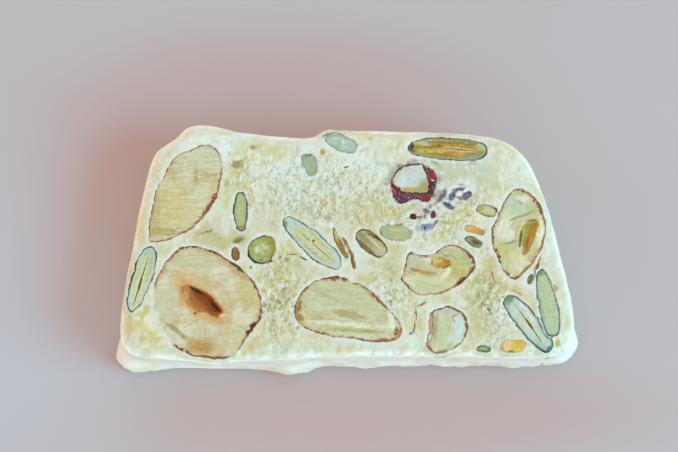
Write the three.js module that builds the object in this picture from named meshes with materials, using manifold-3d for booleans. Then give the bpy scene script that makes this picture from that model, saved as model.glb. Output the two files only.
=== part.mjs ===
// A slice of soft nougat lying on one of its two cut faces.
// The loaf has a wide base (towards -Y), leaning flanks and a narrower rounded top (towards +Y).
// Almonds, hazelnuts, seeds and pieces of fruit are cut flush with both faces.
// Millimetres, +Z up. The origin is under the middle of the slice, on the surface that it lies on.

import * as THREE from 'three';
import { mergeVertices } from 'three/addons/utils/BufferGeometryUtils.js';
import Module from 'manifold-3d';

const wasm = await Module();
wasm.setup();

// Driving dimensions
const thickness = 15; // the knife's spacing, along Z
const gap = 0.3; // room between a piece and the pocket that it sits in
const baseFlare = 0.35; // how far the front wall has slumped outwards along its foot
const wallStep = 3; // longest step round the outline

// The cut face, anticlockwise from its lower left corner.
const faceOutline = [
  [-41.6, -21.6], [-34, -22.6], [-26, -22.9], [-17, -22.7], [-8, -22.2], [6, -21.9], [22, -21.9],
  [36, -22.1], [41.6, -21.2], [43.7, -17.8], [43.3, -11], [41.6, -3], [39.6, 5.4], [37.4, 12.4],
  [34.8, 17.6], [31, 20.7], [23.5, 22.1], [10.5, 22.6], [-4, 22.6], [-6.4, 21.5], [-14.5, 21.7],
  [-21.5, 22.5], [-27, 23.9], [-31.3, 23.6], [-33.4, 21.6], [-35.3, 20.1], [-37.7, 18.3],
  [-38.9, 14.9], [-40.6, 6.8], [-41.9, -1.5], [-43.1, -8.5], [-43.8, -15.5], [-43.5, -19.6],
];

// Levels of the wall: height, how far it stands in from the face outline, share of the slump.
const wallLevels = [
  [0, 1, 0.4], [0.35, 0.35, 0.75], [1.1, 0, 0.95], [3.2, 0, 1], [7, 0, 0.2],
  [thickness - 1, 0, 0], [thickness - 0.3, 0.25, 0], [thickness, 0.8, 0],
];

// Places where the soft foot of the slice is squashed out sideways.
const squashes = [
  { at: [-43.6, -20.2], out: 2.8, reach: 3.8 }, { at: [43.7, -18], out: 2.6, reach: 3.8 },
  { at: [-38.5, -22], out: 0.9, reach: 3.6 }, { at: [-11.2, -22.3], out: 1.2, reach: 5 },
];

// Finishes, by kind of ingredient.
const finishes = {
  nougat: [0xd4dccf, 0.55], almond: [0xcdc497, 0.6], hazelnut: [0xd1c49d, 0.6],
  paleNut: [0xc6cfc6, 0.6], cranberry: [0x5c2126, 0.4], blueberry: [0x6a6a86, 0.45],
  pumpkinSeed: [0xb4bfa0, 0.6], pistachio: [0xb0b86a, 0.55], peel: [0xcb8a34, 0.4],
  apricot: [0xb0752f, 0.4], sultana: [0x8b6038, 0.45],
};

// A closed smooth curve through a few points, as a function of 0 to 1.
function smooth(points) {
  const corners = points.map(([x, y]) => new THREE.Vector3(x, y, 0));
  const curve = new THREE.CatmullRomCurve3(corners, true, 'centripetal');
  return (t) => curve.getPoint(t % 1);
}

// An oval, narrower at one end by taper, bent sideways by bow and squarer as fullness falls.
function oval(long, wide, { taper = 0, bow = 0, fullness = 1 } = {}) {
  const rounded = (value) => Math.sign(value) * Math.abs(value) ** fullness;
  return (t) => {
    const along = Math.cos(t * 2 * Math.PI);
    const across = rounded(Math.sin(t * 2 * Math.PI)) * (1 - taper * along);
    return new THREE.Vector3((rounded(along) * long) / 2, (across * wide) / 2 + bow * along ** 2, 0);
  };
}

// Points round a closed anticlockwise shape, with the outward direction at each.
function stations(shape, marks) {
  const nudge = 0.002;
  return marks.map((mark) => {
    const tangent = shape(mark + nudge).sub(shape(mark + 1 - nudge));
    return { point: shape(mark), outward: new THREE.Vector3(tangent.y, -tangent.x, 0).normalize() };
  });
}

function evenMarks(count) {
  return Array.from({ length: count }, (_, index) => index / count);
}

// Marks along a closed row of points, no further apart than wallStep and closer at its corners.
function marksAlong(points) {
  return points.flatMap(([x, y], index) => {
    const [nextX, nextY] = points[(index + 1) % points.length];
    const steps = Math.max(2, Math.ceil(Math.hypot(nextX - x, nextY - y) / wallStep));
    return evenMarks(steps).map((part) => (index + part) / points.length);
  });
}

// How far the wall bulges out at one station of the outline where the slump is full.
function slumpAt({ point, outward }) {
  const flare = baseFlare * Math.max(0, -outward.y);
  return squashes.reduce((sum, { at, out, reach }) => {
    const away = Math.hypot(point.x - at[0], point.y - at[1]) / reach;
    return sum + out * Math.exp(-away * away);
  }, flare);
}

// The whole block of nougat: a lathe whose rings are drawn out to the outline, level by level.
function sliceGeometry() {
  const rim = stations(smooth(faceOutline), marksAlong(faceOutline));
  const profile = [
    new THREE.Vector2(0, 0),
    ...wallLevels.map(([height]) => new THREE.Vector2(1, height)),
    new THREE.Vector2(0, thickness),
  ];
  const geometry = new THREE.LatheGeometry(profile, rim.length);
  const position = geometry.attributes.position;
  for (let index = 0; index < position.count; index += 1) {
    const level = index % profile.length;
    const station = rim[Math.floor(index / profile.length) % rim.length];
    if (level === 0 || level === profile.length - 1) {
      position.setXYZ(index, 0, 0, profile[level].y);
    } else {
      const [height, inset, slump] = wallLevels[level - 1];
      const offset = slumpAt(station) * slump - inset;
      const { x, y } = station.point.clone().addScaledVector(station.outward, offset);
      position.setXYZ(index, x, y, height);
    }
  }
  return geometry;
}

// An ingredient: an egg-like body whose section at the cut face is the given shape.
// Its middle lies `below` the face and it is `half` tall from there. `grow` makes its pocket.
function pieceGeometry({ at, turn = 0, shape, below, half, back = false, sides = small }, grow = 0) {
  const [around, down] = sides;
  const geometry = new THREE.SphereGeometry(1, around, down);
  const ring = stations(shape, evenMarks(around));
  const widest = 1 / Math.sqrt(1 - (below / half) ** 2);
  const middle = back ? below : thickness - below;
  const position = geometry.attributes.position;
  for (let index = 0; index < position.count; index += 1) {
    const lift = position.getY(index);
    const { point, outward } = ring[(index % (around + 1)) % around];
    const spread = Math.sqrt(Math.max(0, 1 - lift * lift));
    const side = point.clone().multiplyScalar(widest).addScaledVector(outward, grow).multiplyScalar(spread);
    position.setXYZ(index, side.x, side.y, lift * (half + grow));
  }
  return geometry.rotateZ(THREE.MathUtils.degToRad(turn)).translate(at[0], at[1], middle);
}

function toSolid(geometry) {
  geometry.deleteAttribute('normal');
  geometry.deleteAttribute('uv');
  const merged = mergeVertices(geometry);
  return new wasm.Manifold(new wasm.Mesh({
    numProp: 3,
    vertProperties: merged.attributes.position.array,
    triVerts: new Uint32Array(merged.index.array),
  }));
}

function toGeometry(solid) {
  const { vertProperties, triVerts } = solid.getMesh();
  const geometry = new THREE.BufferGeometry();
  geometry.setAttribute('position', new THREE.BufferAttribute(vertProperties, 3));
  geometry.setIndex(new THREE.BufferAttribute(triVerts, 1));
  return geometry;
}

// Cutting can leave loose scraps: only the largest body is kept.
function largestBody(solid) {
  return solid.decompose().reduce((best, body) => (body.volume() > best.volume() ? body : best));
}

// Faces round and down a piece.
const large = [22, 8];
const long = [16, 6];
const medium = [14, 6];
const small = [12, 6];
const tiny = [8, 5];

// Every ingredient, in the order of cutting: a later piece gives way to the earlier ones.
const ingredients = [
  {
    name: 'almond_1', kind: 'almond', at: [-32, 9.5], below: 1.5, half: 5, sides: [26, 8],
    shape: smooth([
      [7.5, 7.2], [6, 9.9], [3.5, 10.4], [0.4, 9.1], [-2.3, 7.6], [-4, 4.1], [-5.2, 2.4], [-6.4, -3.1],
      [-6.9, -9], [-5, -9.5], [-1.5, -8.5], [2.9, -5.7], [6.9, 0.6],
    ]),
  },
  {
    name: 'almond_2', kind: 'almond', at: [0.5, -13], below: 1.8, half: 5.2, sides: [26, 8],
    shape: smooth([
      [9.9, -3], [7.7, 0], [2.1, 5], [-3.3, 6.7], [-8, 5], [-10.6, 1.6], [-10.5, -2.6], [-5.2, -4.9],
      [0.5, -5.9], [7.3, -6.4], [9.8, -5.6],
    ]),
  },
  {
    name: 'almond_3', kind: 'almond', at: [17.6, -5.4], below: 1.2, half: 5.2, sides: [26, 8],
    shape: smooth([
      [7.4, 0.6], [6.7, 3.2], [3, 5.2], [1, 4.8], [-0.6, 3.4], [-3, 3], [-5.7, 3.9], [-6.7, -0.1],
      [-7.3, -1.7], [-4.7, -4.4], [-0.4, -4.8], [3.5, -3.4],
    ]),
    hollow: { at: [18.1, -3.9], turn: -14, shape: oval(3.8, 1.7), below: 0, half: 1.8, sides: tiny },
  },
  {
    name: 'almond_4', kind: 'almond', at: [33.3, 1.6], below: 1, half: 5.4, sides: [26, 8],
    shape: smooth([
      [5.3, -0.5], [5.2, 4.1], [3.6, 7.4], [0.3, 9.7], [-1.2, 9.1], [-3.3, 5.7], [-5.2, 1.4],
      [-5.3, -1.8], [-3.4, -6.1], [-2.3, -9], [-1, -9], [3.3, -4.9],
    ]),
    hollow: {
      at: [35.2, 1.3], turn: 78, shape: oval(7.4, 2.7, { taper: -0.3 }), below: 0, half: 2.2, sides: tiny,
    },
  },
  {
    name: 'hazelnut_1', kind: 'hazelnut', at: [-27.8, -11.6], below: 3, half: 12.6, sides: [26, 14],
    shape: smooth([
      [11.2, -2.6], [10.6, 2.2], [7.9, 5.9], [3.6, 9], [-2.6, 11.3], [-6.4, 9.3], [-9.6, 4], [-9.8, -2],
      [-8, -6.4], [-4.4, -9.6], [1.4, -11], [5.8, -10.3], [8.8, -6.4],
    ]),
    hollow: {
      at: [-28, -11.3], turn: -36, shape: oval(9.4, 3.4, { taper: 0.2 }), below: 0, half: 4, sides: medium,
    },
  },
  {
    name: 'hazelnut_2', kind: 'hazelnut', at: [18.8, -16.8], below: 0.6, half: 4.4, sides: [18, 6],
    shape: smooth([
      [4.6, -0.4], [4.1, 2.6], [0.8, 4.4], [-2.7, 3.6], [-3.2, 0.4], [-3.6, -2.9], [-2.6, -4.5],
      [0.2, -4.7], [3.4, -2.9],
    ]),
  },
  {
    name: 'hazelnut_3', kind: 'paleNut', at: [12.5, 12.7], below: 0.5, half: 3.4, sides: [18, 6],
    shape: smooth([
      [3.3, 0.4], [2.7, 2.8], [1, 3.3], [-2, 2.4], [-3.9, 0.2], [-3.2, -1.8], [0.2, -2.9], [3.5, -2.3],
    ]),
  },
  {
    name: 'cranberry_1', kind: 'cranberry', at: [13, 12], below: 0.3, half: 2.8, sides: [18, 6],
    shape: smooth([
      [4.6, 1.4], [3.3, 3.2], [-0.5, 3.8], [-4, 1.8], [-4.8, -0.6], [-3.4, -4], [-1.7, -4.1],
      [0.2, -3.2], [2.7, -4], [3.7, -2.4],
    ]),
  },
  {
    name: 'pumpkin_seed_1', kind: 'pumpkinSeed', at: [-40, -7.1], turn: 74, below: 0.5, half: 3,
    shape: oval(13.8, 4.2, { taper: -0.1, fullness: 0.85 }), sides: long,
  },
  {
    name: 'pumpkin_seed_2', kind: 'pumpkinSeed', at: [-6.9, 0.1], turn: -42, below: 0.5, half: 3,
    shape: oval(15.4, 4.6, { taper: -0.1, fullness: 0.85 }), sides: long,
  },
  {
    name: 'pumpkin_seed_3', kind: 'pumpkinSeed', at: [19.6, 18.9], turn: -3, below: 0.5, half: 2.6,
    shape: oval(16.6, 4.7, { taper: -0.12, fullness: 0.8 }), sides: long,
  },
  {
    name: 'pumpkin_seed_4', kind: 'pumpkinSeed', at: [38.7, -11.7], turn: 100, below: 0.5, half: 2.8,
    shape: oval(13.9, 4, { taper: 0.2, fullness: 0.8 }), sides: long,
  },
  {
    name: 'pumpkin_seed_5', kind: 'pumpkinSeed', at: [34.9, -15.7], turn: 128, below: 0.5, half: 3,
    shape: oval(14.1, 4.5, { fullness: 0.8 }), sides: long,
  },
  {
    name: 'pumpkin_seed_6', kind: 'pumpkinSeed', at: [-1.4, 20.2], turn: -24, below: 0.4, half: 2.2,
    shape: oval(7.9, 3.5, { taper: -0.1, fullness: 0.85 }),
  },
  {
    name: 'pumpkin_seed_7', kind: 'pumpkinSeed', at: [-7.4, 15.9], turn: 107, below: 0.4, half: 2,
    shape: oval(5.3, 3.4, { fullness: 0.65 }),
  },
  {
    name: 'sultana_1', kind: 'sultana', at: [4.6, 0], turn: -40, below: 0.4, half: 2.4,
    shape: oval(7.7, 4, { fullness: 0.85 }),
  },
  {
    name: 'pumpkin_seed_8', kind: 'pumpkinSeed', at: [9.5, 2.1], turn: -10, below: 0.4, half: 2,
    shape: oval(7.4, 3.5, { fullness: 0.85 }),
  },
  {
    name: 'pistachio_1', kind: 'pistachio', at: [-16.6, -1.2], turn: 60, below: 0.4, half: 3,
    shape: oval(6.4, 5.5, { taper: 0.1 }), sides: medium,
  },
  {
    name: 'pistachio_2', kind: 'pistachio', at: [-20.9, 6.3], turn: 91, below: 0.4, half: 2.6,
    shape: oval(8.3, 2.9, { fullness: 0.85 }), sides: medium,
  },
  {
    name: 'pistachio_3', kind: 'pistachio', at: [27.4, 6.5], turn: -9, below: 0.3, half: 2,
    shape: oval(4.9, 2.4, { fullness: 0.8 }),
  },
  {
    name: 'peel_1', kind: 'peel', at: [32, -20.1], turn: -2, below: 0.2, half: 1.8,
    shape: oval(4.6, 2.7, { fullness: 0.65 }),
  },
  {
    name: 'peel_2', kind: 'peel', at: [24.8, 2.6], turn: -18, below: 0.2, half: 1.6,
    shape: oval(4.4, 1.5, { fullness: 0.65 }),
  },
  {
    name: 'pistachio_4', kind: 'pistachio', at: [24.6, 0.3], turn: -24, below: 0.2, half: 1.6,
    shape: oval(3.8, 1.8, { taper: -0.2, fullness: 0.75 }),
  },
  {
    name: 'pistachio_5', kind: 'pistachio', at: [26.3, -20.7], below: 0.2, half: 1.4, sides: tiny,
    shape: oval(3, 1.5, { fullness: 0.85 }),
  },
  {
    name: 'apricot_1', kind: 'apricot', at: [-1.6, 0.1], turn: -65, below: 0.2, half: 1.8,
    shape: oval(7.4, 1.1, { bow: 0.2, fullness: 0.8 }),
  },
  {
    name: 'apricot_2', kind: 'apricot', at: [0.4, -1.9], turn: -68, below: 0.2, half: 1.6,
    shape: oval(7.2, 0.9, { bow: -0.2, fullness: 0.8 }),
  },
  {
    name: 'sultana_2', kind: 'sultana', at: [-21.7, -2.1], turn: -80, below: 0.2, half: 1.8, sides: tiny,
    shape: oval(3.1, 1.8, { fullness: 0.85 }),
  },
  {
    name: 'sultana_3', kind: 'sultana', at: [35.4, -7.1], turn: 78, below: 0.2, half: 1.4, sides: tiny,
    shape: oval(2.6, 1.4),
  },
  {
    name: 'cranberry_2', kind: 'cranberry', at: [12.7, 5.3], turn: -20, below: 0.2, half: 1.3, sides: tiny,
    shape: oval(1.8, 1.4),
  },
  {
    name: 'cranberry_3', kind: 'cranberry', at: [16.8, 5.7], turn: 80, below: 0.2, half: 1.4, sides: tiny,
    shape: oval(1.8, 1.2),
  },
  {
    name: 'blueberry_1', kind: 'blueberry', at: [15.6, 3.2], turn: -8, below: 0.2, half: 1.5, sides: tiny,
    shape: oval(2.8, 1.6, { fullness: 0.85 }),
  },
  {
    name: 'blueberry_2', kind: 'blueberry', at: [19.7, 7.5], turn: -30, below: 0.2, half: 1.4, sides: tiny,
    shape: oval(2.6, 1.2, { fullness: 0.85 }),
  },
  {
    name: 'blueberry_3', kind: 'blueberry', at: [20.5, 9.6], turn: 62, below: 0.2, half: 1.3, sides: tiny,
    shape: oval(2.4, 1.4),
  },
  {
    name: 'blueberry_4', kind: 'blueberry', at: [23.5, 9.7], turn: 40, below: 0.2, half: 1.4, sides: tiny,
    shape: oval(2.2, 1.9),
  },

  // What the knife cut on the other face.
  {
    name: 'almond_5', kind: 'almond', at: [13.5, 6.5], turn: 24, below: 1.4, half: 4.2, back: true,
    shape: oval(21, 11, { taper: 0.16 }), sides: large,
  },
  {
    name: 'almond_6', kind: 'almond', at: [-9.5, -7.5], turn: 118, below: 1.2, half: 4, back: true,
    shape: oval(19, 10.4, { taper: 0.18 }), sides: large,
  },
  {
    name: 'almond_7', kind: 'almond', at: [33, -9], turn: 62, below: 1.4, half: 4.2, back: true,
    shape: oval(18.6, 10.8, { taper: -0.14 }), sides: large,
  },
  {
    name: 'hazelnut_4', kind: 'hazelnut', at: [-29.5, 12.5], below: 0.8, half: 4.6, back: true,
    shape: oval(12.6, 12), sides: large,
  },
  {
    name: 'pumpkin_seed_9', kind: 'pumpkinSeed', at: [-12.5, 13.5], turn: 32, below: 0.5, half: 2.8,
    back: true, shape: oval(14, 4.4, { taper: 0.12, fullness: 0.85 }),
  },
  {
    name: 'pumpkin_seed_10', kind: 'pumpkinSeed', at: [12.5, -14], turn: -12, below: 0.5, half: 2.8,
    back: true, shape: oval(13.4, 4.2, { taper: -0.12, fullness: 0.85 }),
  },
  {
    name: 'pistachio_6', kind: 'pistachio', at: [31.5, 13.5], turn: 50, below: 0.4, half: 2.8,
    back: true, shape: oval(7.4, 5, { taper: 0.1 }),
  },
  {
    name: 'cranberry_4', kind: 'cranberry', at: [-38, -1.5], turn: 76, below: 0.3, half: 2.4,
    back: true, shape: oval(8.6, 4.6, { bow: 0.8, fullness: 0.85 }),
  },
];

function materialOf(kind) {
  const [color, roughness] = finishes[kind];
  return new THREE.MeshStandardMaterial({ color, roughness, metalness: 0 });
}

function namedMesh(name, kind, solid) {
  const mesh = new THREE.Mesh(toGeometry(solid), materialOf(kind));
  mesh.name = name;
  return mesh;
}

const block = toSolid(sliceGeometry());
const slice = new THREE.Group();
let nougat = block;
let pockets = null;
for (const ingredient of ingredients) {
  let solid = toSolid(pieceGeometry(ingredient)).intersect(block);
  if (ingredient.hollow) solid = solid.subtract(toSolid(pieceGeometry(ingredient.hollow)));
  if (pockets) solid = solid.subtract(pockets);
  slice.add(namedMesh(ingredient.name, ingredient.kind, largestBody(solid)));
  const pocket = toSolid(pieceGeometry(ingredient, gap));
  pockets = pockets ? pockets.add(pocket) : pocket;
  nougat = nougat.subtract(pocket);
}
slice.add(namedMesh('nougat', 'nougat', largestBody(nougat)));

// The origin goes under the middle of the slice.
const box = new THREE.Box3().setFromObject(slice);
slice.position.set(-(box.min.x + box.max.x) / 2, -(box.min.y + box.max.y) / 2, 0);

export default slice;
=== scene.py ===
# A slice of soft white nougat full of nuts, seeds and dried fruit, lying on one of its cut faces.
# Sizes are in millimetres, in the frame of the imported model, and turn into metres in the meshes.

import math
import random

import bmesh
import bpy
import numpy as np
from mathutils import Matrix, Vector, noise


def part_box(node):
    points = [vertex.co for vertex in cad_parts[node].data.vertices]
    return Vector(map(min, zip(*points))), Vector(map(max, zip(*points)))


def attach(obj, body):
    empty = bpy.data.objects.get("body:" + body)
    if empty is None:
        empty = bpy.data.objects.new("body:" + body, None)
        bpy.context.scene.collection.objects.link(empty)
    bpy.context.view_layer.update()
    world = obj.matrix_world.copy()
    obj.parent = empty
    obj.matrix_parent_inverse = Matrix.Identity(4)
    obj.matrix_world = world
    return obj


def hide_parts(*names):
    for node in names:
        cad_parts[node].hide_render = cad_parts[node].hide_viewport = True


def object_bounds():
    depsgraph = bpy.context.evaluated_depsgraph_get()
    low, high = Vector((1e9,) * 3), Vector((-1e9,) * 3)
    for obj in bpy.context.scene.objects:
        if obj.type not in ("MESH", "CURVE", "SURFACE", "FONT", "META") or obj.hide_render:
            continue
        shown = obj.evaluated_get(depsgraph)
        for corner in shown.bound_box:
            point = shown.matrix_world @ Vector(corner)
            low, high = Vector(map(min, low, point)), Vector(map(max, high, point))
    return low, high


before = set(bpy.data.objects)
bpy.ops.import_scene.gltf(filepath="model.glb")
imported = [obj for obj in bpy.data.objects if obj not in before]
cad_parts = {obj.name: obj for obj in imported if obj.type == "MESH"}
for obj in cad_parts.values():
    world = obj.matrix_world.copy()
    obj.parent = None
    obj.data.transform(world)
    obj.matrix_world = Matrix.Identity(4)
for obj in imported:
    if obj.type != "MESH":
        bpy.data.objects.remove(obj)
cad_low, cad_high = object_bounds()


# The block of nougat
# Egg white whipped with hot sugar and honey, set in a loaf and cut across with a wet knife.
# It is full of small pores, and its cut faces close in round every nut, seed and bit of fruit.

MM = 0.001
cut_height = cad_high.z / MM
on_top = cut_height
on_back = 0.0
block_grain = 0.5
dent_depth = 1.3
dent_run = 0.4


def merged(node):
    """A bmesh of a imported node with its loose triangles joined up."""
    solid = bmesh.new()
    solid.from_mesh(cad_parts[node].data)
    bmesh.ops.remove_doubles(solid, verts=solid.verts, dist=0.001 * MM)
    return solid


def cut_face(solid, height):
    """The faces of a solid that lie flat at a height."""
    level = [abs(vert.co.z / MM - height) < 0.01 for vert in solid.verts]
    solid.verts.index_update()
    return [face for face in solid.faces if all(level[vert.index] for vert in face.verts)]


def cut_loops(solid, height):
    """The rows of points that go round a solid's cut face and round its hollows, longest first."""
    flat = set(cut_face(solid, height))
    solid.edges.index_update()
    rim = {
        edge.index: edge
        for edge in solid.edges
        if len(flat.intersection(edge.link_faces)) == 1
    }
    loops = []
    while rim:
        edge = rim.pop(next(iter(rim)))
        loop = [edge.verts[0], edge.verts[1]]
        while loop[-1] is not loop[0]:
            edge = next(near for near in loop[-1].link_edges if near.index in rim)
            del rim[edge.index]
            loop.append(edge.other_vert(loop[-1]))
        loops.append(loop[:-1])
    return sorted(loops, key=len, reverse=True)


def close_over(solid, height):
    """Leaves only the outer walls of a solid, with its cut faces filled in flat, hollows and all."""
    flat = set(cut_face(solid, on_top) + cut_face(solid, on_back))
    walls = set()
    waiting = [face for vert in cut_loops(solid, height)[0] for face in vert.link_faces]
    while waiting:
        wall = waiting.pop()
        if wall in walls or wall in flat:
            continue
        walls.add(wall)
        waiting += [near for edge in wall.edges for near in edge.link_faces]
    bmesh.ops.delete(solid, geom=[face for face in solid.faces if face not in walls], context="FACES")
    bmesh.ops.holes_fill(solid, edges=[edge for edge in solid.edges if edge.is_boundary], sides=0)
    bmesh.ops.recalc_face_normals(solid, faces=solid.faces)


def rounded(corners):
    """An outline with each corner cut twice, so that it runs round smoothly."""
    for _ in range(2):
        after = np.roll(corners, -1, axis=0)
        corners = np.stack([0.75 * corners + 0.25 * after, 0.25 * corners + 0.75 * after], axis=1)
        corners = corners.reshape(-1, 2)
    return corners


def outline_of(loop):
    """The smooth outline of a loop of corners, in mm."""
    return rounded(np.array([(vert.co.x, vert.co.y) for vert in loop]) / MM)


def inside_by(points, outline, reach=1.5):
    """How far points lie inside an outline, in mm: negative outside, and -reach far from it."""
    x, y = points[:, 0], points[:, 1]
    (left, bottom), (right, top) = outline.min(0) - reach, outline.max(0) + reach
    near = np.nonzero((x > left) & (x < right) & (y > bottom) & (y < top))[0]
    x, y = x[near], y[near]
    nearest = np.full(len(near), reach**2)
    inside = np.zeros(len(near), bool)
    for (from_x, from_y), (to_x, to_y) in zip(outline, np.roll(outline, -1, axis=0)):
        step_x, step_y = to_x - from_x, to_y - from_y
        off_x, off_y = x - from_x, y - from_y
        along = np.clip((off_x * step_x + off_y * step_y) / (step_x**2 + step_y**2), 0, 1)
        nearest = np.minimum(nearest, (off_x - along * step_x) ** 2 + (off_y - along * step_y) ** 2)
        if step_y:
            inside ^= ((off_y >= 0) != (y >= to_y)) & (off_x < off_y * step_x / step_y)
    away = np.sqrt(nearest)
    result = np.full(len(points), -reach)
    result[near] = np.where(inside, away, -away)
    return result


def even_skin(solid, face_size):
    """The mesh of a solid rebuilt from even faces of a size in mm."""
    rough = bpy.data.objects.new("rough", bpy.data.meshes.new("rough"))
    solid.to_mesh(rough.data)
    solid.free()
    bpy.context.scene.collection.objects.link(rough)
    remesh = rough.modifiers.new("even", "REMESH")
    remesh.mode = "VOXEL"
    remesh.voxel_size = face_size * MM
    depsgraph = bpy.context.evaluated_depsgraph_get()
    mesh = bpy.data.meshes.new_from_object(rough.evaluated_get(depsgraph))
    bpy.data.objects.remove(rough)
    return mesh


def points_of(mesh):
    """A mesh's points in mm."""
    flat = np.empty(len(mesh.vertices) * 3, np.float32)
    mesh.vertices.foreach_get("co", flat)
    return flat.reshape(-1, 3).astype(float) / MM


def normals_of(mesh):
    """The outward direction at each of a mesh's points."""
    flat = np.empty(len(mesh.vertices) * 3, np.float32)
    mesh.vertex_normals.foreach_get("vector", flat)
    return flat.reshape(-1, 3).astype(float)


def note(mesh, name, values):
    """Keeps a number for each point of a mesh, for its finish to read."""
    mesh.attributes.new(name, "FLOAT", "POINT").data.foreach_set("value", values.astype(np.float32))


def ease(values, start, end):
    """0 before start, 1 after end, with a smooth rise between; it falls where start is past end."""
    part = np.clip((values - start) / (end - start), 0, 1)
    return part * part * (3 - 2 * part)


def oval(points, at, size, turn=0.0, soft=0.6):
    """1 inside an oval of half sizes in mm and 0 outside it, fading over soft of its size."""
    lean = math.radians(turn)
    x, y = points[:, 0] - at[0], points[:, 1] - at[1]
    along = (x * math.cos(lean) + y * math.sin(lean)) / size[0]
    across = (y * math.cos(lean) - x * math.sin(lean)) / size[1]
    return ease(np.hypot(along, across), 1 + soft, 1 - soft)


def bumps(points, size, seed, octaves=3, stretch=(1.0, 1.0)):
    """Noise of about -1 to 1 at points in mm, in lumps of a size in mm, drawn out by stretch."""
    scaled = points[:, :2] / (size * np.array(stretch))
    depth = points[:, 2] / size + 17.3 * seed
    return np.array([
        noise.fractal((x, y, z), 0.7, 2.0, octaves, noise_basis="PERLIN_NEW")
        for (x, y), z in zip(scaled, depth)
    ])


def torn(points, amount):
    """The points shifted sideways a little by noise, the same way for the nougat and its pieces."""
    flat = points * (1, 1, 0)
    shift = [amount * bumps(flat, 2.4, seed, octaves=2) for seed in (41, 42)]
    return points + np.stack([*shift, np.zeros(len(points))], axis=1)


def knife_wave(points):
    """How far the knife wandered from a flat cut, in mm. The nougat and its pieces share it."""
    return 0.09 * bumps(points * (1, 1, 0), 16, 1, octaves=1)


def shows_at(node, height):
    """Whether a node was cut through at a height."""
    low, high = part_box(node)
    return min(abs(low.z / MM - height), abs(high.z / MM - height)) < 0.01


def shown_height(node):
    """The height of the cut face that a node shows in: the upper one, unless it is only at the back."""
    return on_top if shows_at(node, on_top) else on_back


def rim_outline(node, height):
    """The outline of a node where it was cut through at a height."""
    solid = merged(node)
    outline = outline_of(cut_loops(solid, height)[0])
    solid.free()
    return outline


rim_clearance = 0.7


def whole_outline(height):
    """The outline of a whole cut face, run straight across the pieces that break its rim."""
    solid = merged("nougat")
    corners = np.array([(vert.co.x, vert.co.y) for vert in cut_loops(solid, height)[0]]) / MM
    solid.free()
    for node in pieces:
        if shows_at(node, height):
            corners = corners[inside_by(corners, rim_outline(node, height)) < -rim_clearance]
    return rounded(corners)


def place(mesh, name, finish, nodes):
    """Puts a finished piece on the slice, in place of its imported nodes."""
    piece = bpy.data.objects.new(name, mesh)
    bpy.context.scene.collection.objects.link(piece)
    mesh.materials.clear()
    mesh.materials.append(finish)
    mesh.shade_smooth()
    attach(piece, "root")
    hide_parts(*nodes)


# The block with everything in it as one solid: each piece grows past the gap round it.
pieces = [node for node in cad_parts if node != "nougat"]
grown_by = 0.6
block = merged("nougat")
for node in pieces:
    grown = merged(node)
    close_over(grown, shown_height(node))
    for vert in grown.verts:
        vert.co += grown_by * MM * vert.normal
        vert.co.z = min(max(vert.co.z, on_back * MM), on_top * MM)
    filling = bpy.data.meshes.new("filling")
    grown.to_mesh(filling)
    grown.free()
    block.from_mesh(filling)
    bpy.data.meshes.remove(filling)
nougat = even_skin(block, block_grain)
face_outline = whole_outline(on_top)
back_outline = whole_outline(on_back)

# Finer faces on top, then rounded rims. Each pass smooths the points near the upper face first and
# then the rest.
fine = bmesh.new()
fine.from_mesh(nougat)
upper = [face for face in fine.faces if face.calc_center_median().z / MM > cut_height - 0.3]
upper_edges = list({edge.index: edge for face in upper for edge in face.edges}.values())
bmesh.ops.subdivide_edges(fine, edges=upper_edges, cuts=1, use_grid_fill=True)
corner_band = 1.8
softening = 13
for _ in range(softening):
    for band in (
        [vert for vert in fine.verts if vert.co.z / MM > cut_height - corner_band],
        [vert for vert in fine.verts if vert.co.z / MM < cut_height - corner_band],
    ):
        bmesh.ops.smooth_vert(
            fine, verts=band, factor=0.5, use_axis_x=True, use_axis_y=True, use_axis_z=True
        )
fine.to_mesh(nougat)
fine.free()
points = points_of(nougat)
outward = normals_of(nougat)
near_top = ease(points[:, 2], cut_height - 1.2, cut_height - 0.3)
near_back = ease(points[:, 2], 1.2, 0.3)
rim_reach = 4.0
edge_in = np.where(
    points[:, 2] > cut_height / 2,
    inside_by(points, face_outline, rim_reach),
    inside_by(points, back_outline, rim_reach),
)

# Nougat that the knife dragged over a piece: place, half sizes, turn and how far it laps the rim.
rough_rim = 0.22
smears = [
    ((-37.0, -14.0), (1.7, 4.4), 10, 1.0), ((-33.0, -19.6), (2.8, 1.5), -35, 0.8),
    ((-25.6, -21.2), (1.1, 1.2), 0, 1.3), ((-37.6, 11.7), (1.4, 1.4), 0, 0.3),
    ((9.2, -13.2), (1.0, 1.4), 0, 0.6), ((-8.2, -15.6), (1.6, 0.8), 0, 0.5),
    ((16.0, -20.6), (1.4, 1.0), 0, 0.5), ((30.6, -6.6), (1.2, 0.8), 0, 0.5),
    ((1.0, -7.4), (0.8, 0.8), 0, 0.5), ((13.6, -1.6), (0.8, 0.8), 0, 0.5),
]

# Seeds that lie just under the face, with a thin film of nougat drawn over their rims.
filmed = {"pumpkin_seed_6": 0.1, "pumpkin_seed_7": 0.25, "pumpkin_seed_8": 0.2, "hazelnut_3": -0.25}

# Nuts with a hollow, which need a deeper dent under them.
deeper = {"hazelnut_1": 4.2, "almond_3": 2.2, "almond_4": 2.4}

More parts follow.
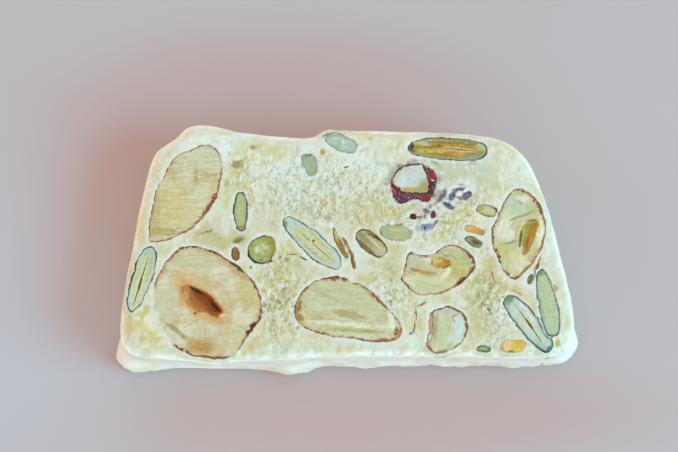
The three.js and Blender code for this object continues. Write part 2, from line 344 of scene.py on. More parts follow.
# Where the crumb is open and rough: middle, half sizes, turn and share.
open_crumb = [
    ((-6.5, 10.5), (12, 6.5), -8, 0.9), ((-13.0, -12.0), (3.8, 8.5), 4, 1.0),
    ((8.5, -9.5), (3.5, 5), 10, 0.7), ((12.5, 4.0), (4.5, 4), 0, 0.8), ((28.5, -13.0), (4, 7), 8, 0.8),
    ((-20.8, 14.5), (2.6, 8), 6, 0.6), ((2.5, 9.5), (8, 7), 0, 0.8), ((19.5, 6.5), (4, 5), 0, 0.9),
    ((37.0, -20.5), (5, 2), 0, 0.5), ((25.0, 8.5), (4, 3), 0, 0.6),
]

# Open bubbles: middle and reach of each patch, how many, and the radius of the smallest and largest.
pore_patches = [
    ((-3.5, 10.5), (15, 7), 50, (0.25, 0.5)), ((-13.0, -11.5), (4, 8), 36, (0.3, 0.7)),
    ((9.5, -7.0), (5, 7), 16, (0.25, 0.5)), ((28.5, -12.0), (4, 7), 20, (0.25, 0.6)),
    ((-20.5, 13.0), (3.4, 8), 14, (0.25, 0.5)), ((0.0, 0.0), (40, 20), 40, (0.2, 0.4)),
]
back_pores = [((0.0, 0.0), (40, 20), 300, (0.4, 0.9))]


def pores(points, patches, seed):
    """Depth in mm of small open bubbles, scattered over patches of a cut face."""
    draw = random.Random(seed)
    depth = np.zeros(len(points))
    x, y = points[:, 0], points[:, 1]
    for middle, (wide, tall), count, (least, most) in patches:
        for _ in range(count):
            at_x, at_y = draw.gauss(middle[0], wide / 2), draw.gauss(middle[1], tall / 2)
            radius = draw.uniform(least, most) * draw.uniform(0.6, 1)
            squash, lean = draw.uniform(0.5, 1.0), draw.uniform(-0.6, 0.6)
            near = np.nonzero((np.abs(x - at_x) < radius) & (np.abs(y - at_y) < radius))[0]
            off_x, off_y = x[near] - at_x, y[near] - at_y
            away = np.hypot(off_x + lean * off_y, off_y / squash) / radius
            bowl = 0.75 * radius * (1 - np.clip(away, 0, 1) ** 2)
            depth[near] = np.maximum(depth[near], bowl)
    return depth


def dents(points, height):
    """How far the face falls away under the pieces that show in it, and how far off they are."""
    ragged = 0.14 * bumps(points, 0.8, 5, octaves=2) + 0.1 * bumps(points, 3.5, 15, octaves=2)
    torn_points = torn(points, rough_rim)
    lap = np.zeros(len(points))
    if height == on_top:
        for at, size, turn, most in smears:
            lap += most * oval(points, at, size, turn, 0.9)
    lap *= 0.8 + 0.7 * bumps(points, 1.6, 6, octaves=2)
    fall = np.zeros(len(points))
    nearest = np.full(len(points), -1.5)
    for node in pieces:
        if not shows_at(node, height):
            continue
        rim = inside_by(torn_points, rim_outline(node, height))
        nearest = np.maximum(nearest, rim)
        start = filmed.get(node, 0.0) + lap + ragged
        fall = np.maximum(fall, deeper.get(node, dent_depth) * ease(rim, start, start + dent_run))
    return fall, nearest


# Where the walls were pressed in or stand out: place, half sizes and how far, in mm.
wall_folds = [
    ((-26.0, -23.5), (10.0, 3.0), -0.85), ((-42.0, -22.5), (4.0, 3.0), -0.4),
    ((-11.0, -23.5), (3.0, 2.5), 0.3), ((3.0, -23.5), (6.0, 3.0), 0.35), ((44.0, -20.0), (3.0, 3.5), -0.2),
]

# The upper face: wet knife marks, open crumb, bubbles, and a dent for every piece. It reaches
# round the pieces that break its rim.
face_fall, beside = dents(points, on_top)
reach_round = 1.2
edge_in += near_top * np.maximum(beside + reach_round - edge_in, 0)
face_fall *= ease(edge_in, 0.0, 0.5)
inner = ease(edge_in, 0.2, 1.6)
openness = np.zeros(len(points))
for at, size, turn, share in open_crumb:
    openness = np.maximum(openness, share * oval(points, at, size, turn, 0.9))
openness = np.clip(openness + 0.3 * bumps(points, 4.0, 9), 0.06, 1)
crumb = bumps(points, 1.0, 3, stretch=(0.85, 1.5))
swells = bumps(points, 3.0, 2)
bubble_depth = pores(points, pore_patches, 11) * near_top * inner
face_relief = knife_wave(points) - bubble_depth
face_relief += inner * (0.07 * swells + (0.05 + 0.2 * openness) * crumb)
front = ease(points[:, 1], -17, -20)
slope = (1 - ease(edge_in, -0.5, 2.4 + front)) ** 2
face_relief -= (0.5 + 0.3 * front) * (1 + bumps(points, 3.5, 14)) * slope

# The back face lies on the table, so its relief only goes inwards.
back_depth = pores(points, back_pores, 12) * near_back * inner
back_relief = 0.05 + 0.05 * bumps(points, 4, 4) + back_depth
back_fall, back_beside = dents(points, on_back)
points[:, 2] += near_top * (face_relief - face_fall)
points[:, 2] += near_back * inner * (back_relief + back_fall)

# The walls: soft where the loaf set against its wrapping, with swells, dimples and small folds.
wall_share = (1 - near_top * ease(edge_in, -0.3, 0.7)) * (1 - near_back)
low_down = ease(points[:, 2], 0.95 * cut_height, 0.3 * cut_height)
swell = (0.12 + 0.28 * low_down) * bumps(points, 7, 7) + (0.04 + 0.18 * low_down) * bumps(points, 2.4, 8)
swell += 0.2 - 0.35 * low_down
for at, size, out in wall_folds:
    swell += out * low_down * oval(points, at, size, soft=0.8)
points[:, :2] += outward[:, :2] * (wall_share * swell)[:, None]
points[:, 2] = np.maximum(points[:, 2], 0)
nougat.vertices.foreach_set("co", (points * MM).astype(np.float32).ravel())
nougat.update()
note(nougat, "edge_in", edge_in)
# The depth of the bubbles, which the finish reads to paint shade in them.
note(nougat, "pore_shade_depth", bubble_depth + back_depth)
note(nougat, "openness", openness)
# The crumb's relief height, which the finish reads to paint shade in its lows and highlight on its tops.
note(nougat, "crumb", (0.4 + 0.8 * openness) * crumb + 0.3 * swells)
out_of_reach = 4
beside -= out_of_reach * (1 - near_top)
back_beside -= out_of_reach * (1 - near_back)
note(nougat, "beside", np.maximum(beside, back_beside))


def tint(code):
    """A colour from its red, green and blue, two hexadecimal digits each."""
    shown = [int(code[at:at + 2], 16) / 255 for at in (0, 2, 4)]
    linear = [c / 12.92 if c <= 0.04045 else ((c + 0.055) / 1.055) ** 2.4 for c in shown]
    return (*linear, 1.0)


# Broad tones over the face: colour, place, half sizes, turn and strength, and a softness of its own
# where that differs.
nougat_tones = [
    ("dcf0f6", (-7.0, 10.0), (9.5, 5.5), -8, 0.6), ("dceff4", (3.0, 17.0), (6.0, 3.4), 0, 0.6),
    ("dceff4", (37.0, 17.0), (4.0, 5.0), 30, 0.5), ("dcecf2", (-8.0, 20.0), (5.0, 1.6), 0, 0.5),
    ("dfe9f2", (-4.0, -21.0), (10.0, 1.8), 0, 0.7), ("c6c69a", (-24.0, 1.6), (7.0, 2.6), -6, 0.75),
    ("cfcb9c", (5.0, 1.0), (6.0, 3.4), -40, 0.55), ("cfcfa2", (-7.0, -5.0), (5.0, 2.0), -30, 0.45),
    ("b0c0c8", (18.6, 10.0), (6.0, 3.6), 0, 0.6), ("d0cb9c", (38.0, -14.0), (4.0, 5.0), 0, 0.5),
    ("cfca98", (20.0, -12.0), (2.6, 4.0), 20, 0.55), ("d2cf9e", (-40.0, -2.0), (3.0, 6.0), 0, 0.5),
    ("ccc894", (-13.0, -4.0), (3.0, 3.0), 0, 0.5), ("d6d78e", (-39.6, -14.0), (2.4, 1.8), 0, 0.85),
    ("d8d890", (-36.4, -17.4), (2.0, 2.6), -30, 0.9), ("dccf8e", (-42.6, -19.4), (1.0, 2.4), 0, 0.8),
    ("dee8e2", (-40.4, -17.4), (1.4, 1.0), 30, 0.7), ("d9c27c", (-33.6, -19.6), (1.3, 0.7), -30, 0.6),
    ("d2d6a0", (-33.3, 21.6), (1.6, 0.8), 35, 0.8), ("d8d88e", (-28.0, 23.8), (0.9, 0.5), 0, 0.8),
    ("c9ce9c", (27.0, -8.5), (3.0, 7.0), 10, 0.75), ("c9d0a4", (7.5, -7.5), (4.0, 4.0), -30, 0.5),
    ("d6d39a", (9.0, -2.2), (2.6, 1.6), 0, 0.5), ("d4d6ae", (-12.8, -9.0), (3.5, 7.0), 5, 0.7),
    ("cdc995", (-13.6, -10.6), (1.2, 1.3), 0, 0.7), ("c8cc94", (24.0, -16.5), (2.4, 3.6), 0, 0.75),
    ("ddcf8a", (40.4, -19.4), (0.8, 1.3), 0, 0.8), ("dcd3a0", (37.5, -22.6), (4.0, 0.8), 0, 0.7),
    ("cdd4b0", (8.0, 6.5), (5.0, 3.5), 0, 0.5), ("d3d9ae", (-21.0, 19.0), (2.0, 3.0), 8, 0.55),
    ("d6d8a6", (-21.4, 11.0), (1.4, 2.4), 0, 0.6), ("d8d79f", (-30.0, -1.8), (3.0, 0.7), -10, 0.5),
    ("d9d3a0", (12.2, 1.8), (1.6, 1.4), 0, 0.7), ("d3d4a2", (22.5, 6.6), (3.6, 1.8), -20, 0.6),
    ("dfe0b6", (21.4, 8.4), (2.4, 1.1), -35, 0.7, 0.2), ("e4efee", (-18.0, 12.0), (0.7, 5.0), 4, 0.8),
    ("dfeae6", (-17.5, 4.0), (2.5, 3.0), 0, 0.6), ("e0ece9", (14.5, -1.5), (2.0, 3.0), 20, 0.5),
    ("dfebe6", (26.0, -1.0), (1.4, 4.0), -10, 0.8), ("dfeae8", (-5.0, -21.0), (13.0, 1.6), 0, 0.8),
    ("dee8e2", (20.0, -22.0), (14.0, 0.8), 0, 0.6), ("c2cfba", (22.0, 14.0), (8.0, 3.0), -8, 0.9),
    ("dde9df", (33.0, 13.0), (2.2, 6.0), 25, 0.7), ("c5d0b6", (27.0, 19.0), (4.0, 2.0), 0, 0.8),
    ("d8dcb8", (-36.0, -20.6), (3.0, 1.2), 0, 0.8), ("d0dac0", (-9.0, -20.0), (10.0, 0.9), 0, 0.7),
    ("dcd8a8", (-12.0, -17.5), (2.4, 1.0), -10, 0.7), ("d2dcc6", (2.0, -21.6), (4.0, 0.7), 0, 0.7),
    ("d6dab4", (14.0, -21.4), (3.0, 0.8), 0, 0.7), ("cfdcd4", (24.0, 12.4), (2.6, 2.0), 0, 0.5),
    ("e3edf6", (20.0, 10.2), (2.4, 1.8), -30, 0.8), ("dfe8f2", (16.2, 6.2), (1.8, 3.2), 10, 0.75),
    ("e6f0f4", (14.0, 2.6), (2.4, 1.6), 30, 0.6), ("e2e0f0", (17.0, 12.0), (0.7, 2.4), 25, 0.5),
    ("dfecec", (-2.0, -4.5), (7.0, 1.2), -32, 0.4),
]

# Wet and creamy patches first, then loose grains: middle and reach of each lot, how many, the
# largest radius and their colours.
grain_patches = [
    ((0.0, 0.0), (80, 42), 34, 3.2, ("e4eff4", "e2eef0")),
    ((0.0, -4.0), (80, 36), 26, 2.6, ("dccf96", "d8d29c")),
    ((18.6, 9.4), (6.0, 3.4), 70, 0.5, ("2c3448", "4c4a6c", "5a3a5c", "7c8cb4", "eef2f8", "8a9cc0")),
    ((14.6, 5.6), (5.0, 3.0), 36, 0.45, ("6c2438", "3c2c44", "8c98c0", "eef2f8", "b4c0dc")),
    ((21.0, 9.4), (3.0, 3.0), 12, 0.8, ("eef2ee", "f2f4e6")),
    ((-3.0, 9.5), (16, 10), 120, 0.55, ("f2f8f8", "d2d29c", "b9bd94", "e9f1f4", "dcdcb2")),
    ((-13.0, -10.5), (6, 11), 80, 0.6, ("f2f8f8", "d6cf94", "b9bb90", "dcd7a0")),
    ((9.0, -8.0), (7, 8), 40, 0.5, ("f2f8f8", "d2d29c", "c3bd84")),
    ((26.5, -9.0), (7, 12), 90, 0.6, ("f2f8f8", "cfcb88", "b6b67c", "dcd49c")),
    ((23.0, 5.0), (8, 5), 50, 0.6, ("f6f8ec", "d6cf8c", "e6e2b0", "c9bd78")),
    ((-39.0, -16.0), (6, 7), 30, 0.9, ("f4f8f2", "dfd68c", "e6df9c", "eef2ea")),
    ((0.0, 0.0), (80, 40), 150, 0.5, ("eff6f6", "dedcae", "cfd0a2", "e6efef")),
]
draw = random.Random(15)
for middle, (wide, tall), count, largest, codes in grain_patches:
    for _ in range(count):
        at = draw.gauss(middle[0], wide / 3), draw.gauss(middle[1], tall / 3)
        size = largest * draw.uniform(0.4, 1)
        shape = (size, size * draw.uniform(0.4, 0.9))
        nougat_tones.append((draw.choice(codes), at, shape, draw.uniform(0, 180), 0.8))
wash = np.zeros((len(points), 4))
wandering = torn(points, 1.1)
for code, at, size, turn, strength, *own in nougat_tones:
    patch = strength * oval(wandering, at, size, turn, own[0] if own else 0.6)[:, None]
    wash = wash * (1 - patch) + patch * tint(code)
wash[:, :3] /= np.maximum(wash[:, 3:], 0.001)
wash[:, 3] *= near_top
wash_colours = nougat.attributes.new("wash", "FLOAT_COLOR", "POINT")
wash_colours.data.foreach_set("color", wash.astype(np.float32).ravel())


class Paint:
    """A value in a finish. Sums and products of such values add Math nodes."""

    def __init__(self, tree, socket=None):
        self.tree = tree
        self.socket = socket

    def node(self, kind, settings, sockets, result=0):
        """Adds a node: its settings come first, then the values or links of its sockets."""
        made = self.tree.nodes.new("ShaderNode" + kind)
        for setting, value in settings.items():
            setattr(made, setting, value)
        for name, value in sockets.items():
            if isinstance(value, Paint):
                self.tree.links.new(value.socket, made.inputs[name])
            else:
                made.inputs[name].default_value = value
        return Paint(self.tree, made.outputs[result] if made.outputs else None)

    def maths(self, operation, *terms):
        return self.node("Math", {"operation": operation}, dict(enumerate(terms)))

    def __add__(self, other):
        return self.maths("ADD", self, other)

    def __sub__(self, other):
        return self.maths("SUBTRACT", self, other)

    def __rsub__(self, other):
        return self.maths("SUBTRACT", other, self)

    def __mul__(self, other):
        return self.maths("MULTIPLY", self, other)

    __radd__ = __add__
    __rmul__ = __mul__


def new_finish(name):
    """An empty material and a first value to paint it from."""
    material = bpy.data.materials.new(name)
    material.use_nodes = True
    material.node_tree.nodes.clear()
    return material, Paint(material.node_tree)


def millimetres(paint):
    """The place on the slice, in mm."""
    where = paint.node("TexCoord", {}, {}, "Object")
    return paint.node("VectorMath", {"operation": "SCALE"}, {0: where, "Scale": 1 / MM})


def noted(paint, name):
    """A number that the mesh keeps for each of its points."""
    return paint.node("Attribute", {"attribute_name": name}, {}, "Fac")


def rise(value, start, end):
    """0 before start, 1 after end, with a smooth rise between; it falls where start is past end."""
    limits = {"Value": value, "From Min": start, "From Max": end}
    return value.node("MapRange", {"interpolation_type": "SMOOTHSTEP"}, limits)


def laid_out(where, at, turn, scale):
    """The place measured from a point in mm, along a direction in degrees, in units of scale."""
    return where.node("Mapping", {"vector_type": "TEXTURE"}, {
        "Vector": where, "Location": at, "Rotation": (0, 0, math.radians(turn)), "Scale": scale,
    })


def mottle(where, size, detail=2.0, turn=0.0, stretch=1.0, seed=0.0):
    """Noise of 0 to 1 in lumps of a size in mm, drawn out along a direction in degrees."""
    laid = laid_out(where, (13.1 * seed, 7.7 * seed, 3.3 * seed), turn, (size * stretch, size, size))
    return where.node("TexNoise", {}, {"Vector": laid, "Scale": 1.0, "Detail": detail})


def foam(where, size, reach, seed=0.0):
    """1 in the open bubbles of a foam with cells of a size in mm, and 0 between them."""
    laid = laid_out(where, (9.1 * seed, 4.3 * seed, 2.7 * seed), 0.0, (size, size, size))
    away = where.node("TexVoronoi", {}, {"Vector": laid, "Scale": 1.0}, "Distance")
    return rise(away, reach, 0.45 * reach)


def spot(where, at, size, turn=0.0, soft=0.4, ragged=0.0):
    """1 inside an oval of half sizes in mm and 0 outside it, fading over soft of its size."""
    laid = laid_out(where, (at[0], at[1], 0), turn, (size[0], size[1], 1 / MM))
    away = where.node("VectorMath", {"operation": "LENGTH"}, {0: laid}, "Value")
    return rise(away + ragged, 1 + soft, 1 - soft)


def astray(where, amount, size):
    """The place shifted by up to about an amount in mm, in swirls of a size in mm."""
    laid = laid_out(where, (5.0, 9.0, 0), 0, (size, size, size))
    swirl = where.node("TexNoise", {}, {"Vector": laid, "Scale": 1.0, "Detail": 2.0}, "Color")
    middle = where.node("VectorMath", {"operation": "SUBTRACT"}, {0: swirl, 1: (0.5, 0.5, 0.5)})
    shift = where.node("VectorMath", {"operation": "MULTIPLY"}, {0: middle, 1: (3 * amount, 3 * amount, 0)})
    return where.node("VectorMath", {"operation": "ADD"}, {0: where, 1: shift})


def blend(mask, under, over):
    """One colour laid over another by a mask."""
    return mask.node("Mix", {"data_type": "RGBA"}, {0: mask, 6: under, 7: over}, 2)


def daub(where, colour, tones, wander, soft=0.5):
    """A colour with patches of others laid over it. A patch is its colour, place, half sizes,
    turn and strength, and its own softness where that differs."""
    for code, at, size, turn, strength, *own in tones:
        patch = spot(where, at, size, turn, own[0] if own else soft, wander)
        colour = blend(strength * patch, colour, tint(code))
    return colour


def honeyed(where, colour, share=1.0):
    """A colour warmed by the honey, which is richest along the wide side of the loaf."""
    rich = share * spot(where, (0, -11), (56, 24), 0, 0.42)
    return rich.node("Mix", {"data_type": "RGBA", "blend_type": "MULTIPLY"}, {
        0: rich, 6: colour, 7: tint("f6f3e8"),
    }, 2)


def complete(paint, material, colour, height, relief, roughness, melt):
    """Wires up a moist surface: fine relief of a depth in mm, and light that goes melt mm deep."""
    bump = paint.node("Bump", {}, {"Strength": 1.0, "Distance": relief * MM, "Height": height}, "Normal")
    surface = paint.node("BsdfPrincipled", {}, {
        "Base Color": colour,
        "Roughness": roughness,
        "Normal": bump,
        "Subsurface Weight": 0.25,
        "Subsurface Radius": (1.0, 0.75, 0.5),
        "Subsurface Scale": melt * MM,
        "Specular IOR Level": 0.4,
    })
    paint.node("OutputMaterial", {}, {"Surface": surface})
    return material


# Small blots, and flecks that the knife has dragged.
nougat_blots = [
    ("a2914e", (-21.9, 15.8), (0.9, 0.75), 0, 0.85), ("b8a26e", (-20.8, 16.0), (0.6, 0.8), 0, 0.7),
    ("9d9050", (-18.5, 19.3), (0.75, 0.45), 0, 0.85), ("cfc48e", (-17.6, 19.4), (0.8, 0.45), 0, 0.7),
    ("a6ab8c", (-23.6, 12.1), (0.5, 0.6), 0, 0.7), ("b79a5c", (-4.9, 18.4), (0.5, 0.7), 0, 0.85),
    ("55583c", (-0.2, 15.3), (0.5, 0.22), 15, 0.9), ("5f6238", (-10.6, -2.2), (1.1, 0.13), 4, 0.8),
    ("53522c", (-8.6, -3.0), (0.8, 0.22), -28, 0.9), ("6e6c30", (-21.3, 0.4), (0.9, 0.4), 12, 0.9),
    ("8f9b56", (-21.2, 0.9), (1.0, 0.5), 10, 0.6), ("73506a", (-18.7, -4.9), (0.25, 0.25), 0, 0.85),
    ("c08d6c", (28.1, -6.4), (1.5, 0.25), -70, 0.85), ("e9d3c4", (27.6, -6.3), (1.3, 0.16), -70, 0.7),
    ("c98f74", (32.8, -9.7), (1.1, 0.22), -25, 0.85), ("b58a50", (40.3, -8.9), (0.35, 0.8), 10, 0.7),
    ("c9a544", (40.5, -19.6), (0.6, 0.8), 0, 0.8), ("a88d4a", (38.6, -22.5), (0.5, 0.4), 0, 0.8),
    ("6f7489", (26.7, -12.2), (0.5, 0.22), 20, 0.8), ("4c4f56", (27.3, -13.0), (0.5, 0.3), -30, 0.85),
    ("8b8f86", (27.6, -13.8), (0.4, 0.2), 20, 0.7), ("a7a86a", (25.2, -10.2), (0.5, 0.9), 0, 0.6),
    ("6a1c22", (12.7, 12.4), (4.3, 3.6), 0, 0.95), ("4a3c5e", (18.3, 9.2), (1.5, 0.5), 50, 0.8),
    ("6a5f86", (16.6, 9.6), (0.5, 0.9), 20, 0.7), ("2e3448", (21.8, 10.8), (1.3, 0.35), 15, 0.85),
    ("5d4a6c", (22.4, 9.0), (1.1, 0.3), -20, 0.7), ("52304c", (15.4, 6.4), (0.9, 0.5), -50, 0.75),
    ("7c2436", (13.9, 5.2), (0.5, 0.3), 0, 0.8), ("8c97bd", (14.6, 3.2), (1.4, 0.9), 10, 0.5),
    ("3c4664", (17.1, 4.1), (0.6, 0.25), 60, 0.8), ("6b2a3c", (9.3, 9.6), (0.5, 0.9), 20, 0.7),
    ("dfe6f0", (19.5, 7.2), (1.4, 0.7), 40, 0.8), ("a5574a", (10.2, 3.7), (0.7, 0.2), 12, 0.85),
    ("96a274", (17.4, 15.9), (1.3, 0.25), -35, 0.8), ("c3cf9a", (18.0, 15.2), (0.8, 0.5), -30, 0.7),
    ("98a3ae", (24.6, 16.2), (0.8, 0.5), 30, 0.5), ("e0bb52", (31.0, -20.4), (1.6, 1.0), 8, 0.4),
    ("b5b9a6", (4.5, 21.0), (0.5, 0.45), 0, 0.7), ("8e6048", (14.3, -12.1), (1.1, 0.15), 22, 0.9),
    ("7e5646", (13.2, -13.9), (1.5, 0.14), 92, 0.9), ("84503c", (12.8, -16.6), (1.3, 0.17), 75, 0.9),
    ("555a5e", (12.1, -17.8), (0.4, 0.2), 40, 0.8), ("a9774a", (37.3, -3.4), (1.5, 0.2), 72, 0.9),
    ("7c4a2c", (36.9, -4.6), (0.6, 0.3), 70, 0.9), ("8a4a34", (36.4, -5.7), (0.9, 0.25), 80, 0.7),
    ("3f5356", (11.7, 10.2), (0.25, 0.35), 0, 0.85), ("5b6a72", (15.6, 8.6), (0.2, 0.8), -15, 0.7),
    ("60696c", (18.9, 10.0), (0.2, 0.7), 20, 0.7), ("8c8f70", (23.6, 5.6), (0.7, 0.12), 20, 0.8),
    ("84906f", (8.2, -11.5), (0.4, 0.3), 0, 0.7), ("b08a5c", (-36.4, 0.4), (1.2, 0.14), 18, 0.5),
    ("9b5f34", (-27.6, 2.3), (1.4, 0.14), 14, 0.8),
]

finish, paint = new_finish("nougat")
where = millimetres(paint)
edge = noted(paint, "edge_in")
pore_shade_depth = noted(paint, "pore_shade_depth")
open_here = noted(paint, "openness")
crumb_shade_and_highlight = noted(paint, "crumb")
beside_piece = noted(paint, "beside")
cloud = mottle(where, 5.0, detail=3.0, seed=1)
fleck = mottle(where, 1.1, detail=3.0, seed=2)
grains = mottle(where, 0.45, detail=2.0, turn=80, stretch=1.6, seed=4)
wet_highlight_streak = mottle(where, 1.6, detail=2.0, turn=78, stretch=4.0, seed=3)
colour = blend(rise(cloud, 0.38, 0.6), tint("e0eae2"), tint("d6d5aa"))
# Painted highlight: pale streaks across the face stand in for wet highlights.
colour = blend(0.5 * rise(wet_highlight_streak, 0.5, 0.75), colour, tint("e8f1f0"))
wash_share = paint.node("Attribute", {"attribute_name": "wash"}, {}, "Alpha")
colour = blend(wash_share, colour, paint.node("Attribute", {"attribute_name": "wash"}, {}, "Color"))
colour = blend(0.35 * rise(fleck, 0.54, 0.7), colour, tint("d6d6ac"))
# Painted shade in the low parts of the crumb relief, and a painted highlight on its tops.
colour = blend(0.55 * rise(crumb_shade_and_highlight, -0.05, -0.5), colour, tint("c0c29e"))
colour = blend(0.65 * rise(crumb_shade_and_highlight, 0.05, 0.45), colour, tint("ecf6f5"))
# Painted glints: white specks on the grain's tops stand in for tiny wet highlights, and its low spots are
# painted darker as shade.
colour = blend((0.3 + 0.4 * open_here) * rise(grains, 0.56, 0.68), colour, tint("f2f8f8"))
colour = blend((0.15 + 0.4 * open_here) * rise(grains, 0.44, 0.32), colour, tint("b2b796"))
# Painted sheen: a ragged bluish-white band of wet highlight round every piece.
wet_sheen = rise(beside_piece + 1.6 * (fleck - 0.5) + 1.2 * (cloud - 0.5), -1.2, -0.1)
colour = blend(0.5 * wet_sheen, colour, tint("e2ebf1"))
# A paler film of nougat round the rim of the face and over the walls. On the walls it is painted lighter
# still, as painted light for the light they catch.
rim_film_and_wall_light = rise(edge + 2.6 * (cloud - 0.5), 1.5, 0.1)
lit_wall_film = blend(rise(cloud, 0.5, 0.75), tint("f6fbf9"), tint("f0e8c2"))
clean_face = blend(rise(cloud, 0.42, 0.6), tint("dde6e0"), tint("d9dab6"))
colour = blend(0.8 * rim_film_and_wall_light, colour, blend(rise(edge, 0.2, -0.5), clean_face, lit_wall_film))
# Painted shade: the open bubbles are coloured darker the deeper they go.
colour = blend(0.55 * rise(pore_shade_depth, 0.04, 0.3), colour, tint("aeae84"))
pit_and_shade = rise(open_here, 0.15, 0.6) * foam(where, 0.75, 0.3, seed=1)
tiny_pit_and_shade = rise(open_here, 0.05, 0.9) * foam(where, 0.42, 0.33, seed=2)
# Painted shade: the small pits of the open crumb are coloured darker, besides denting its relief.
colour = blend(0.4 * pit_and_shade, colour, tint("96a294"))
colour = blend(0.3 * tiny_pit_and_shade, colour, tint("8fa0a2"))
colour = daub(astray(where, 0.3, 1.0), colour, nougat_blots, 0.9 * (fleck - 0.5), 0.4)
colour = honeyed(where, colour, rise(edge, -0.4, 0.8) * (1.1 - 0.8 * wet_sheen))
height = 0.5 * fleck + 0.3 * grains - 0.5 * pit_and_shade - 0.3 * tiny_pit_and_shade
nougat_finish = complete(paint, finish, colour, height, 0.2, 0.36 + 0.3 * cloud, 0.9)
place(nougat, "nougat_block", nougat_finish, ["nougat"])


# The almonds
# Whole roasted almonds in their thin brown skins: four cut through by the knife on the face that
# shows and three on the back. The flesh is waxy and pale, grained across by the blade.

nut_grain = 0.22
rounding_passes = 3
rim_round = 0.1
sunk = 0.02
wall_cover = 1.4


def freshly_cut(node, height, face_size, hollows=(), lifts=()):
    """A nut or seed as the knife left it: an even copy of its solid with its cut face dressed.
    A hollow is its outline in mm, its depth, and how far its floor runs before it is that deep.
    A lift is the place, half sizes and turn of a step in the face, and its height."""
    outline = rim_outline(node, height)
    solid = merged(node)
    close_over(solid, height)
    up = 1 if height == on_top else -1
    mesh = even_skin(solid, face_size)
    round_off = bmesh.new()
    round_off.from_mesh(mesh)
    for _ in range(rounding_passes):
        bmesh.ops.smooth_vert(
            round_off, verts=round_off.verts, factor=0.5, use_axis_x=True, use_axis_y=True
        )
    round_off.to_mesh(mesh)
    round_off.free()
    points = points_of(mesh)
    rim = inside_by(points, outline)
    points[:, :2] -= (torn(points, rough_rim) - points)[:, :2]
    depth = (height - points[:, 2]) * up
    block_outline = face_outline if height == on_top else back_outline
    tuck = np.maximum(wall_cover - inside_by(points, block_outline, rim_reach), 0)
    tuck *= ease(depth, 0.5, 4.0)
    from_middle = points[:, :2] - outline.mean(0)
    points[:, :2] -= from_middle * (tuck / np.linalg.norm(from_middle, axis=1))[:, None]
    on_face = depth < 0.35
    in_hollow = np.full(len(points), -3.0)
    fall = np.zeros(len(points))
    for corners, deep, run in hollows:
        edge = inside_by(torn(points, 0.35), rounded(np.array(corners)))
        in_hollow = np.maximum(in_hollow, edge)
        fall = np.maximum(fall, deep * ease(edge, -0.12, run))
    relief = knife_wave(points) + 0.08 * bumps(points, 2.2, 21) + 0.06 * bumps(points, 0.8, 22)
    for at, size, turn, lift in lifts:
        relief += lift * oval(points, at, size, turn, 0.3)
    level = height + up * (relief - sunk - rim_round * ease(rim, 0.4, 0) - fall)
    points[:, 2] = np.where(on_face & (rim > -0.1), level, points[:, 2])
    points[:, 2] = np.maximum(points[:, 2], 0.0)
    mesh.vertices.foreach_set("co", (points * MM).astype(np.float32).ravel())
    mesh.update()
    note(mesh, "rim", rim)
    note(mesh, "hollow", in_hollow)
    return mesh


